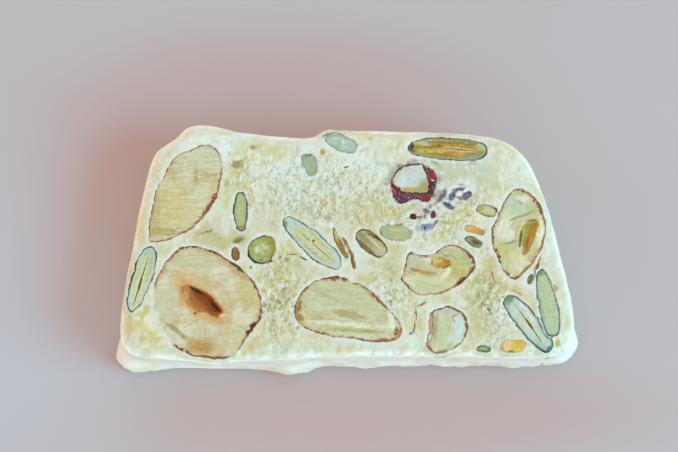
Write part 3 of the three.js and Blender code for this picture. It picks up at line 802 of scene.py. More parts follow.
def nut_finish(
    name, flesh, skin, grain=(0.0, 0.6), lines=0.25, tones=(), skins=(), width=0.24,
    under=("c39a66", 0.5), halo=None, floor=("b98a4e", "8a5528"), stains_and_shade=(), melt=0.7,
):
    """The finish of a cut nut. flesh, skin and floor are pairs of colours, and grain is the direction
    and pitch of the blade's lines. tones are patches of flesh, and stains lie over the hollow too; for
    hazelnut_1 the darkest of them are painted shade along the hollow's upper and right edges.
    skins are stretches of skin of another colour: colour, place, half sizes and extra width."""
    finish, paint = new_finish(name)
    where = millimetres(paint)
    rim = noted(paint, "rim")
    hollow = noted(paint, "hollow")
    cloud = mottle(where, 3.0, detail=3.0, seed=len(name))
    fine = mottle(where, 0.6, detail=3.0, seed=len(name) + 1)
    marks = mottle(where, grain[1], detail=2.0, turn=grain[0], stretch=7.0, seed=2)
    thread = mottle(where, 0.45 * grain[1], detail=1.0, turn=grain[0] + 3, stretch=12.0, seed=5)
    colour = blend(rise(cloud, 0.35, 0.68), tint(flesh[0]), tint(flesh[1]))
    wander = 0.5 * (cloud - 0.5) + 0.6 * (fine - 0.5)
    patches = mottle(where, 1.5, detail=3.0, turn=grain[0], stretch=2.2, seed=len(name) + 3)
    colour = blend(0.4 * rise(patches, 0.52, 0.62), colour, tint("e2e7d8"))
    colour = blend(0.3 * rise(patches, 0.46, 0.36), colour, tint("c9b87a"))
    colour = daub(astray(where, 0.4, 1.6), colour, tones, wander)
    colour = blend(1.5 * lines * rise(marks, 0.54, 0.64), colour, tint("b5a874"))
    colour = blend(1.9 * lines * rise(marks, 0.46, 0.36), colour, tint("e2e8d6"))
    colour = blend(1.6 * lines * rise(thread, 0.58, 0.68), colour, tint("a08c58"))
    colour = blend(0.3 * rise(fine, 0.56, 0.74), colour, tint("c3b788"))
    colour = blend(0.4 * rise(fine, 0.42, 0.3), colour, tint("dfe9df"))
    crisp = mottle(where, 0.3, detail=1.0, turn=grain[0], stretch=1.8, seed=6)
    colour = blend(0.2 * rise(crisp, 0.57, 0.68), colour, tint("ecefdf"))
    colour = blend(0.2 * rise(crisp, 0.42, 0.32), colour, tint("a8955c"))
    if halo:
        stained = rise(hollow + 1.4 * (cloud - 0.5) + 0.8 * (fine - 0.5), -halo[1], -0.05)
        colour = blend(0.85 * stained, colour, tint(halo[0]))
    inside = rise(hollow + 0.25 * (fine - 0.5), -0.08, 0.08)
    colour = blend(inside, colour, blend(rise(fine, 0.35, 0.65), tint(floor[0]), tint(floor[1])))
    colour = daub(where, colour, stains_and_shade, 0.5 * (fine - 0.5), 0.3)
    ragged = mottle(where, 0.6, detail=3.0, seed=7)
    flaky = rise(ragged, 0.36, 0.62)
    patchy = mottle(where, 2.6, detail=2.0, seed=len(name) + 9)
    edge = width * (0.2 + 1.4 * flaky) + 0.8 * (patchy - 0.5)
    husk = blend(flaky, tint(skin[0]), tint(skin[1]))
    for code, at, size, extra in skins:
        here = spot(where, at, size, 0, 0.35, 0.5 * (fine - 0.5))
        edge = edge + extra * here * (0.5 + flaky)
        husk = blend(here, husk, blend(rise(ragged, 0.55, 0.7), tint(code), tint(skin[1])))
    colour = blend(0.5 * rise(rim, edge + under[1], edge), colour, tint(under[0]))
    skin_mask = rise(rim, edge + 0.09, edge - 0.04)
    colour = honeyed(where, blend(skin_mask, colour, husk), 0.3)
    height = 0.3 * marks + 0.2 * thread + 0.45 * fine + 0.3 * crisp + 0.3 * skin_mask
    return complete(paint, finish, colour, height, 0.2, 0.45 + 0.15 * fine, melt)


def set_nuts(nuts, flesh, skin):
    """Cuts, finishes and places nuts of a kind. What is said of each but its hollows and lifts
    goes to its finish."""
    for name, cut in nuts.items():
        hollows, lifts = cut.pop("hollows", ()), cut.pop("lifts", ())
        mesh = freshly_cut(name, shown_height(name), nut_grain, hollows, lifts)
        place(mesh, name + "_cut", nut_finish(name, flesh, skin, **cut), [name])


almonds = {
    "almond_1": dict(
        grain=(2, 0.5), lines=0.2, width=0.18,
        tones=[
            ("cdd6b8", (-29.0, 17.5), (5.0, 3.0), -20, 0.9),
            ("d2c890", (-34.0, 6.5), (4.0, 6.0), 12, 0.85),
            ("c4b282", (-37.6, 7.0), (0.9, 6.0), 3, 0.8, 0.3),
            ("d6d2a8", (-29.5, 7.5), (2.4, 4.5), -25, 0.7),
            ("b9ae78", (-29.8, 13.9), (0.5, 1.9), 2, 0.95, 0.18),
            ("bcb27c", (-27.2, 13.9), (2.1, 0.5), 4, 0.9, 0.2),
            ("c3bc88", (-32.0, 15.8), (2.4, 0.6), 5, 0.6),
            ("b9a868", (-35.8, 2.4), (3.0, 0.75), -3, 0.9, 0.2),
            ("d3dcc6", (-31.4, 12.0), (1.2, 1.4), 0, 0.6), ("c9cfa9", (-31.0, 3.2), (2.4, 0.8), 20, 0.7),
            ("d8dfca", (-28.3, 10.3), (1.2, 1.6), 0, 0.6), ("cfa88c", (-38.4, 1.5), (0.8, 0.5), 0, 0.8),
        ],
        skins=[
            ("8a4a20", (-26.6, 7.6), (1.9, 2.6), 0.42), ("a8622c", (-28.8, 4.0), (1.6, 1.4), 0.2),
            ("7c5a44", (-35.0, 1.2), (4.0, 1.2), -0.04), ("9c5a2c", (-26.5, 13.0), (1.4, 3.0), 0.08),
        ],
        lifts=[((-29.8, 13.9), (0.5, 1.9), 2, -0.12), ((-27.2, 13.9), (2.1, 0.5), 4, -0.12),
               ((-35.8, 2.0), (3.4, 1.0), -3, -0.12)],
    ),
    "almond_2": dict(
        grain=(-8, 0.5), lines=0.16,
        tones=[
            ("c6d6be", (1.0, -11.5), (10.0, 3.6), -18, 0.55),
            ("b6c09a", (-5.0, -9.6), (3.6, 0.8), -22, 0.7),
            ("c9d3b4", (-5.6, -12.2), (3.4, 1.6), -15, 0.8),
            ("c2cc9e", (1.5, -10.0), (5.0, 2.4), -25, 0.7),
            ("a9a26a", (-3.2, -10.9), (1.8, 0.14), -18, 0.7, 0.3),
            ("b5aa72", (0.4, -14.0), (3.2, 0.75), -10, 0.9, 0.3),
            ("cbd2a4", (5.6, -12.6), (1.8, 2.2), 0, 0.7),
            ("e1ead8", (-0.5, -15.9), (8.0, 0.5), -4, 0.95, 0.3),
            ("a6a05c", (1.6, -17.2), (4.0, 0.22), -3, 0.95, 0.4),
            ("d7e0cc", (-0.5, -18.2), (7.0, 0.5), -3, 0.9, 0.3),
            ("c0c692", (-1.0, -16.8), (6.6, 0.3), -3, 0.6),
            ("e3ece6", (8.2, -14.9), (0.6, 1.8), 14, 0.95, 0.2),
            ("8c6520", (-9.6, -12.6), (0.4, 2.2), -12, 0.95, 0.2),
            ("a8842e", (-9.2, -14.8), (0.8, 0.6), -30, 0.95, 0.2),
            ("7a4312", (9.3, -17.2), (0.5, 0.7), 0, 0.95, 0.3),
            ("c9ac4a", (10.2, -17.4), (0.6, 1.1), 0, 0.9, 0.3),
            ("b07c34", (9.6, -18.2), (0.7, 0.5), 0, 0.8, 0.3),
        ],
        skins=[
            ("8a4c28", (-2.4, -7.0), (2.2, 1.0), 0.3), ("9c5c38", (6.5, -10.5), (3.6, 4.0), 0.1),
            ("a8602c", (7.6, -19.6), (2.8, 0.9), 0.45), ("6c4a3a", (-2.0, -19.6), (6.0, 0.9), 0.02),
            ("b9c0a0", (0.8, -7.0), (0.7, 0.8), -0.5), ("9c6a3c", (-8.4, -9.0), (1.4, 1.6), 0.15),
        ],
        lifts=[((-0.5, -15.9), (8.5, 0.55), -4, 0.22), ((1.6, -17.2), (5.0, 0.35), -3, -0.3),
               ((0.4, -14.4), (3.2, 0.5), -10, -0.2), ((8.2, -14.9), (0.6, 1.8), 14, 0.15),
               ((9.3, -17.2), (0.6, 0.8), 0, -0.3), ((-9.5, -13.2), (0.5, 2.0), -10, -0.25)],
    ),
    "almond_3": dict(
        grain=(-15, 0.6), lines=0.12,
        tones=[
            ("c1d1c0", (12.8, -3.0), (1.8, 1.6), 0, 0.9), ("c0bf72", (21.4, -5.0), (2.6, 2.6), -30, 0.9),
            ("cbd2a8", (14.8, -8.2), (4.0, 1.4), 12, 0.9),
            ("eceed8", (18.9, -6.0), (0.5, 1.5), -38, 0.95, 0.2),
            ("b9c89f", (19.4, -1.9), (2.2, 0.9), -10, 0.9),
            ("8c9c6c", (19.6, -2.5), (1.8, 0.16), -14, 0.8, 0.3),
            ("b3983c", (14.6, -5.6), (2.6, 0.45), -14, 0.9, 0.3),
            ("8a6a24", (13.0, -5.1), (1.2, 0.16), -20, 0.8, 0.3),
            ("dfe6d8", (15.6, -3.0), (0.6, 1.0), 0, 0.9),
            ("b5a35c", (12.2, -5.8), (1.2, 0.25), -20, 0.7, 0.3),
            ("d5dcb8", (16.8, -7.4), (1.4, 0.8), 20, 0.8), ("aebb8c", (22.8, -3.0), (0.8, 1.6), 10, 0.7),
            ("dee4cc", (12.0, -7.6), (1.0, 0.8), 0, 0.8), ("d0cf92", (19.8, -7.4), (1.6, 0.6), 20, 0.7),
        ],
        skins=[
            ("5c2c16", (22.4, -7.8), (1.4, 1.2), 0.4), ("8a4a24", (10.4, -3.0), (1.0, 2.4), 0.3),
            ("7c4428", (24.0, -4.2), (1.2, 3.0), 0.16), ("b55c34", (21.4, -9.0), (0.9, 0.5), 0.5),
            ("7c4630", (13.0, -1.4), (2.2, 0.9), 0.1), ("c9cfa8", (16.4, -1.8), (0.8, 0.7), -0.5),
            ("b9a888", (15.0, -9.6), (2.6, 0.9), -0.2), ("6c4a34", (10.0, -6.4), (0.8, 1.0), 0.12),
        ],
        hollows=[
            ([(16.6, -3.0), (18.0, -2.7), (19.6, -3.1), (20.1, -4.0), (18.2, -5.1), (16.9, -4.8)], 0.9, 0.4),
        ],
        lifts=[((14.6, -5.6), (2.6, 0.5), -14, -0.25), ((18.9, -6.2), (0.5, 1.5), -38, 0.2),
               ((12.8, -3.0), (1.8, 1.5), 0, -0.15), ((19.4, -1.9), (2.2, 0.6), -14, 0.15)],
        halo=("cbbb7a", 0.25), floor=("dcc070", "cba650"),
        stains_and_shade=[
            ("7c5020", (19.2, -4.6), (1.0, 0.18), 28, 0.9), ("e9c88c", (17.6, -3.3), (1.0, 0.35), 0, 0.7),
            ("6a4a20", (16.4, -3.8), (0.14, 0.8), 0, 0.8),
        ],
    ),
    "almond_4": dict(
        grain=(70, 0.7), lines=0.12,
        tones=[
            ("bfd2bd", (32.4, 7.4), (3.0, 2.2), 0, 0.95), ("a88a5c", (33.6, 8.4), (0.4, 0.9), 30, 0.6),
            ("c6cb8c", (30.4, -1.8), (2.0, 2.4), 10, 0.9), ("e5ecdc", (30.4, 3.0), (1.8, 2.4), 0, 0.95),
            ("f2f4dc", (38.0, 1.0), (1.0, 4.8), -5, 0.95), ("e0e4cc", (33.6, -4.4), (1.8, 1.4), 0, 0.9),
            ("b5bf84", (36.6, 6.6), (1.6, 1.2), 0, 0.7), ("9aa66c", (31.6, 0.2), (1.8, 0.16), 14, 0.85, 0.3),
            ("98a478", (33.6, 5.3), (2.4, 0.18), 20, 0.85, 0.3), ("d5dcb0", (31.2, 5.6), (1.0, 0.8), 0, 0.8),
            ("d9dcae", (32.4, -2.4), (1.2, 0.9), 0, 0.7), ("aab67c", (29.6, 5.0), (0.3, 1.6), -16, 0.7),
            ("c3cf9c", (35.6, 7.8), (1.6, 0.5), 20, 0.7), ("e6ecd8", (34.0, 9.0), (1.4, 0.6), 0, 0.8),
        ],
        skins=[
            ("8c4a28", (37.6, 8.2), (1.4, 2.6), 0.3), ("8a5030", (29.0, -2.6), (0.9, 1.8), 0.22),
            ("7c5238", (32.6, 10.0), (2.4, 1.0), 0.06), ("8a4c2c", (31.6, -6.6), (1.4, 1.0), 0.25),
            ("c0c49a", (30.0, -4.8), (0.8, 0.8), -0.5), ("7c5a38", (28.4, 3.0), (0.7, 3.0), 0.08),
        ],
        hollows=[([(34.4, 4.5), (37.2, 5.0), (36.9, 2.7), (36.1, 0.1), (34.9, -2.3), (33.9, -2.5),
                   (34.2, -1.0), (33.6, 0.4), (33.8, 2.4)], 1.2, 1.2)],
        lifts=[((33.6, 5.5), (2.6, 0.3), 20, -0.3), ((30.4, 3.0), (1.8, 2.3), 0, 0.2),
               ((31.6, 0.2), (1.8, 0.2), 14, -0.2), ((38.0, 1.0), (0.7, 4.4), -5, 0.12)],
        halo=("d2cb92", 0.2), floor=("c2ae58", "ac9644"),
        stains_and_shade=[("574a1c", (33.7, 1.2), (0.25, 1.5), -8, 0.95), ("8c6c28", (36.0, 4.6), (1.1, 0.22), 8, 0.8),
                ("d8bd74", (35.8, 1.6), (0.3, 2.2), -14, 0.7), ("5c5a2c", (33.5, -0.4), (0.3, 0.4), 0, 0.8)],
    ),
    "almond_5": dict(grain=(20, 0.5)),
    "almond_6": dict(grain=(110, 0.5)),
    "almond_7": dict(grain=(60, 0.5)),
}
set_nuts(almonds, ("d8dabc", "c6bd8a"), ("6c432c", "b07e56"))


# The hazelnuts
# Round nuts with a papery brown skin. The largest is cut through near its middle, so it shows the
# stained hollow between its halves. The palest one sits in the cranberry.

hazelnuts = {
    "hazelnut_1": dict(
        grain=(1, 0.6), lines=0.12, width=0.2, under=("c89f62", 0.9),
        tones=[
            ("cccdac", (-29.4, -3.4), (4.4, 1.8), 0, 0.9),
            ("c9c484", (-19.6, -9.4), (1.6, 3.4), 15, 0.85),
            ("d2cfa6", (-22.4, -18.0), (3.6, 2.6), 20, 0.9),
            ("cfd0b4", (-35.2, -12.0), (2.4, 4.0), 0, 0.8),
            ("bb9250", (-36.4, -4.6), (1.2, 1.6), 40, 0.85),
            ("cfae72", (-27.0, -1.6), (4.0, 0.5), -18, 0.7),
            ("bd9148", (-28.0, -20.2), (2.8, 1.5), 0, 0.95),
            ("a39a5c", (-33.3, -17.0), (2.6, 0.45), -38, 0.9),
            ("b0a66c", (-31.4, -18.4), (1.4, 0.6), -38, 0.7),
            ("dde2cc", (-36.4, -8.2), (1.4, 1.0), 0, 0.7),
            ("c9a264", (-21.8, -5.2), (2.8, 0.6), -38, 0.8),
            ("d0b27c", (-27.4, -7.6), (3.4, 1.1), -20, 0.6),
            ("dab880", (-31.8, -7.6), (2.4, 1.8), 10, 0.7),
            ("d6b278", (-25.6, -15.2), (2.6, 1.1), -30, 0.7),
            ("d0b680", (-26.4, -15.0), (3.2, 0.7), -4, 0.6),
            ("dddfc8", (-20.6, -14.6), (1.8, 1.4), 0, 0.8),
            ("dde0cc", (-30.4, -16.6), (1.8, 0.9), 20, 0.7),
            ("c9b97c", (-18.6, -5.4), (0.8, 1.6), 20, 0.6),
            ("b7c2b4", (-24.6, -17.4), (0.8, 0.5), 30, 0.6),
        ],
        skins=[
            ("2e3234", (-27.6, -0.2), (5.4, 2.0), 0.08), ("2f3130", (-21.8, -3.8), (2.2, 2.4), 0.12),
            ("a96a34", (-35.0, -1.9), (1.8, 1.4), 0.1), ("a9642c", (-37.4, -4.6), (1.2, 2.0), 0.16),
            ("8a4a2c", (-17.4, -11.0), (1.4, 3.4), 0.06), ("54180c", (-18.2, -17.0), (1.5, 1.4), 0.6),
            ("8a5a3c", (-24.0, -21.8), (6.0, 1.6), -0.3), ("c9c596", (-36.6, -13.8), (3.0, 4.4), -0.6),
            ("c9c596", (-34.4, -18.6), (1.8, 1.4), -0.6), ("7c3a24", (-31.0, -21.0), (1.4, 0.9), 0.1),
        ],
        hollows=[
            ([(-31.8, -8.0), (-30.3, -8.4), (-28.0, -9.4), (-26.2, -10.5), (-25.7, -11.6), (-24.6, -12.7),
              (-24.0, -13.4), (-24.9, -14.9), (-26.3, -14.6), (-27.6, -13.6), (-28.9, -13.4),
              (-30.2, -12.5), (-31.6, -11.4), (-32.3, -9.5)], 0.6, 1.4),
            ([(-31.6, -8.1), (-30.3, -8.4), (-28.0, -9.4), (-26.2, -10.5), (-25.7, -11.6), (-24.6, -12.7),
              (-24.2, -13.6), (-25.4, -14.0), (-28.0, -12.4), (-30.2, -10.6)], 1.2, 0.8),
        ],
        lifts=[((-33.0, -17.6), (1.8, 0.5), -35, -0.2), ((-28.2, -20.2), (1.8, 0.7), 0, -0.15),
               ((-23.9, -12.6), (0.5, 0.8), 0, 0.2)],
        halo=("d2a668", 1.35), floor=("cc8e44", "b4732a"), melt=0.5,
        # The dark bands 4c2208 and 54260a along the hollow's upper and right edges are painted shade.
        stains_and_shade=[
            ("a0602a", (-28.6, -11.2), (3.0, 1.3), -36, 0.85, 0.5),
            ("8c4c16", (-27.4, -10.9), (3.4, 0.9), -37, 0.9, 0.3),
            ("4c2208", (-29.4, -9.2), (1.6, 0.25), -28, 0.9),
            ("54260a", (-25.6, -12.4), (1.6, 0.35), -44, 0.9, 0.5),
            ("8c4c1e", (-26.2, -13.4), (1.4, 0.7), -34, 0.8),
            ("d9a878", (-31.4, -10.4), (0.7, 1.0), 0, 0.6),
            ("e6d3b0", (-24.2, -14.2), (0.6, 0.4), 20, 0.9),
            ("e2cfae", (-24.6, -11.6), (0.3, 0.7), 30, 0.7),
            ("5a2c12", (-29.5, -13.8), (0.3, 0.22), 0, 0.9),
            ("b5a06a", (-30.2, -15.8), (1.8, 0.14), 30, 0.7),
            ("b8a672", (-27.5, -17.4), (0.14, 1.2), 0, 0.6),
            ("a89a66", (-20.4, -16.6), (1.6, 0.14), -30, 0.5),
        ],
    ),
    "hazelnut_2": dict(
        grain=(90, 0.8), lines=0.08, width=0.2, under=("b99a78", 0.3),
        tones=[
            ("a8a47c", (17.0, -16.4), (0.8, 2.6), 0, 0.9), ("c3d6ae", (18.6, -17.6), (1.5, 3.4), 0, 0.9),
            ("cde4e8", (21.4, -16.4), (1.2, 2.4), 0, 0.95), ("b8cfc6", (19.0, -13.4), (2.6, 0.6), 0, 0.8),
            ("5f7a68", (20.5, -15.0), (0.14, 0.9), 10, 0.8), ("5f7a68", (20.9, -14.2), (0.7, 0.13), 20, 0.8),
            ("d6e6de", (20.6, -18.8), (1.4, 1.0), 0, 0.8), ("9fb88c", (19.6, -19.8), (0.3, 1.2), -30, 0.6),
            ("4c6a6c", (16.2, -18.6), (0.16, 1.6), -20, 0.7),
        ],
        skins=[
            ("8c4a34", (23.0, -16.4), (1.2, 3.0), 0.2), ("8c4a38", (18.6, -12.4), (3.0, 1.0), 0.06),
            ("d0a080", (15.6, -15.6), (0.9, 2.4), 0.5), ("9a7a6a", (19.0, -21.6), (3.4, 0.9), -0.3),
        ],
        lifts=[((20.9, -16.0), (1.2, 1.8), 0, 0.2), ((16.6, -16.6), (0.5, 2.6), 0, -0.2)],
        stains_and_shade=[("7c3c2c", (16.4, -15.2), (0.12, 2.4), -4, 0.8)],
    ),
    "hazelnut_4": dict(grain=(0, 0.5)),
}
set_nuts(hazelnuts, ("dcdec8", "c9ba88"), ("4c3824", "8c6840"))

pale = dict(
    width=0.12, lines=0.06, under=("c9b98c", 0.3),
    tones=[
        ("c9d8de", (12.2, 12.8), (2.6, 1.8), 10, 0.8), ("a39c62", (15.4, 11.2), (1.8, 1.5), 35, 0.95),
        ("b3a658", (13.4, 10.4), (2.8, 0.8), -8, 0.95), ("c9a23c", (12.0, 10.4), (1.4, 0.4), -20, 0.8),
        ("b9d4e4", (14.6, 14.0), (0.5, 0.5), 0, 0.8), ("dfe6ea", (10.8, 12.6), (0.8, 1.4), 0, 0.7),
    ],
    skins=[("7c1a16", (9.6, 11.2), (1.0, 1.8), 0.25), ("5c2426", (15.0, 15.4), (2.0, 0.8), 0.1)],
)
set_nuts({"hazelnut_3": pale}, ("cddcda", "c6d3c6"), ("5a3230", "7c4a40"))


# The seeds
# Green pumpkin seeds, cut lengthways: a thin dark green coat round two pale halves with a slit
# between them. Some lie under a film of nougat.

seed_grain = 0.2


def seed_finish(
    name, at, turn, flesh=("c3dccf", "c6cfa0"), coat=("2c4a48", "4f736c"), slits=(), tones=(),
    skins=(), width=0.2, ring=("d6e6dc", 0.6), speckle=0.25,
):
    """The finish of a cut seed. Slits, tones and skins are given along and across the seed, in mm,
    and the ring is the paler band inside its coat."""
    finish, paint = new_finish(name)
    where = millimetres(paint)
    laid = laid_out(where, (at[0], at[1], 0), turn, (1, 1, 1))
    rim = noted(paint, "rim")
    fine = mottle(where, 0.5, detail=3.0, seed=len(name))
    cloud = mottle(laid, 1.2, detail=2.0, stretch=2.5, seed=len(name) + 3)
    colour = blend(rise(cloud, 0.4, 0.62), tint(flesh[0]), tint(flesh[1]))
    colour = blend(ring[1] * rise(rim + 0.3 * (fine - 0.5), 0.75, 0.5), colour, tint(ring[0]))
    colour = daub(astray(laid, 0.25, 1.2), colour, tones, 0.7 * (fine - 0.5), 0.4)
    for middle, size, lean in slits:
        lips = spot(laid, middle, (size[0] * 1.04, size[1] * 3.0), lean, 0.25, 0.3 * (fine - 0.5))
        colour = blend(0.75 * lips, colour, tint("e0e0b4"))
        colour = blend(spot(laid, middle, size, lean, 0.35, 0.6 * (fine - 0.5)), colour, tint("565629"))
    colour = blend(0.4 * rise(fine, 0.58, 0.7), colour, tint("e0ebe0"))
    colour = blend(speckle * rise(fine, 0.44, 0.34), colour, tint("7a7c40"))
    ragged = mottle(where, 0.9, detail=2.0, seed=8)
    edge = width * (0.45 + 1.1 * ragged)
    husk = blend(rise(ragged, 0.4, 0.65), tint(coat[0]), tint(coat[1]))
    for code, middle, size, extra in skins:
        here = spot(laid, middle, size, 0, 0.3, 0.5 * (fine - 0.5))
        edge = edge + extra * here
        husk = blend(here, husk, tint(code))
    colour = blend(0.5 * rise(rim, edge + 0.35, edge), colour, tint("93b0a0"))
    colour = honeyed(where, blend(rise(rim, edge + 0.09, edge - 0.04), colour, husk), 0.5)
    height = 0.5 * fine + 0.5 * cloud
    return complete(paint, finish, colour, height, 0.1, 0.42 + 0.1 * fine, 0.6)


def set_seeds(kinds):
    """Cuts, finishes and places seeds of a kind."""
    for name, cut in kinds.items():
        mesh = freshly_cut(name, shown_height(name), seed_grain)
        place(mesh, name + "_cut", seed_finish(name, **cut), [name])


seeds = {
    "pumpkin_seed_1": dict(
        at=(-40.0, -7.1), turn=74, slits=[((-0.7, 0.0), (4.7, 0.14), 0), ((-1.0, 0.0), (1.6, 0.24), 2)],
        tones=[("d3d6ac", (0.5, 0.5), (4.5, 0.3), 0, 0.8), ("a5c6c2", (5.6, 0), (1.0, 1.6), 0, 0.6),
               ("b5c9a4", (3.4, -0.9), (2.0, 0.5), 0, 0.6), ("d8dcb6", (-4.0, -0.6), (2.2, 0.7), 0, 0.6)],
        skins=[("26392f", (0.5, 1.9), (2.6, 0.8), 0.1)],
    ),
    "pumpkin_seed_2": dict(
        at=(-6.9, 0.1), turn=-42, width=0.14,
        slits=[((0.8, 0.0), (4.5, 0.09), 0), ((-0.1, 0.45), (0.25, 0.3), 0)],
        tones=[
            ("d9d3a4", (0.4, 0.0), (5.0, 0.9), 0, 0.8), ("6d7c4a", (-6.6, -1.2), (0.8, 1.1), 20, 0.85),
            ("b5d6d2", (-5.6, 0.6), (1.6, 0.9), 0, 0.8),
            ("7ea39f", (0.4, -1.35), (6.0, 0.1), 1, 0.6, 0.5), ("bcd9d4", (6.4, 0.4), (1.0, 1.2), 0, 0.7),
            ("8fb0a8", (1.0, 1.45), (5.4, 0.08), -1, 0.5, 0.5),
        ],
    ),
    "pumpkin_seed_3": dict(
        at=(19.6, 18.9), turn=-3, flesh=("a8943c", "a67a22"), coat=("3c452c", "7c8a5e"), width=0.2,
        ring=("a8b68a", 0.5), speckle=0.7,
        slits=[((2.4, 0.0), (3.4, 0.12), -3)],
        tones=[
            ("2c2018", (-7.4, 0.3), (0.8, 1.0), 30, 0.95, 0.3),
            ("6c2c10", (-7.1, -0.9), (0.8, 0.6), 0, 0.95), ("c89c34", (1.2, 0.1), (4.6, 0.9), 0, 0.8),
            ("c5cf9c", (-5.2, 1.0), (1.8, 0.5), -8, 0.8), ("b8cc9c", (6.6, 0.8), (1.2, 0.7), -20, 0.85),
            ("6b5214", (-1.6, 0.5), (0.5, 0.35), 0, 0.85), ("594414", (0.2, 0.1), (0.8, 0.16), -6, 0.85),
            ("d9a05c", (2.4, -0.9), (1.6, 0.5), 0, 0.7),
            ("9c8a3c", (3.0, 1.6), (3.2, 0.5), -3, 0.85, 0.2),
            ("5f5a2c", (3.0, 1.15), (3.2, 0.1), -3, 0.7), ("cfc66a", (-4.0, -0.6), (1.8, 0.4), 0, 0.8),
            ("8a5c20", (-3.0, 0.3), (1.6, 0.14), 5, 0.7), ("dcc878", (-1.0, -0.5), (1.2, 0.3), 8, 0.7),
            ("93a68c", (5.6, -1.3), (2.2, 0.5), 8, 0.8),
        ],
        skins=[("2c3826", (7.2, -0.9), (1.4, 1.2), 0.1)],
    ),
    "pumpkin_seed_4": dict(
        at=(38.7, -11.7), turn=100, flesh=("b8cfae", "bfd0a6"), coat=("35504c", "5f8074"),
        ring=("a9c4b8", 0.7),
        tones=[("5f8577", (6.2, 0), (0.8, 1.3), 0, 0.8), ("8fb0a4", (0.0, 1.5), (5.6, 0.3), 0, 0.6)],
    ),
    "pumpkin_seed_5": dict(
        at=(34.9, -15.7), turn=128, flesh=("c3dad6", "c9dcd2"), ring=("b3cfcc", 0.7),
        slits=[((-0.8, 0.1), (4.4, 0.13), -4), ((-0.2, 0.0), (1.5, 0.26), -4)],
        tones=[("5f8a75", (6.2, 0), (1.1, 1.3), 0, 0.85), ("3f5560", (-6.6, 0.0), (0.6, 0.9), 0, 0.9),
               ("e6ecf6", (2.0, -1.2), (3.0, 0.35), -4, 0.9), ("9fc4c8", (-4.8, 0.9), (1.6, 0.5), 0, 0.7)],
    ),
    "pumpkin_seed_6": dict(
        at=(-1.4, 20.2), turn=-24, flesh=("afc8be", "b3cabd"), coat=("7d8f7e", "93a594"), width=0.2,
        ring=("9db5a6", 0.6),
        tones=[("d6e4e2", (-1.4, 0.4), (0.9, 0.16), 20, 0.8), ("dfe9e9", (0.4, 0.3), (0.8, 0.14), -60, 0.8),
               ("8fa9a6", (-0.4, -0.1), (0.7, 0.16), 30, 0.6), ("c8cfae", (-2.6, -1.0), (1.0, 0.3), 0, 0.6)],
    ),
    "pumpkin_seed_7": dict(
        at=(-7.4, 15.9), turn=107, flesh=("9eb092", "a3b697"), coat=("8c9d80", "9cae90"),
        ring=("94a788", 0.5),
        tones=[("7f8c6a", (2.2, 0.0), (0.8, 1.6), 0, 0.8), ("b9c6ae", (-0.6, 0.5), (1.2, 0.5), 0, 0.5)],
    ),
    "pumpkin_seed_8": dict(
        at=(9.5, 2.1), turn=-10, flesh=("b0bf92", "b6c294"), coat=("8d946a", "a0a980"), ring=("a9b88e", 0.5),
        tones=[("6b5a2c", (-3.4, -0.6), (1.0, 0.5), -40, 0.85), ("cbd3ae", (0.6, 0.6), (1.6, 0.3), 10, 0.6)],
    ),
    "pumpkin_seed_9": dict(at=(-12.5, 13.5), turn=32),
    "pumpkin_seed_10": dict(at=(12.5, -14.0), turn=-12),
}
set_seeds(seeds)


# The pistachios
# Shelled green pistachios, cut across or lengthways, in a thin purple-brown skin.

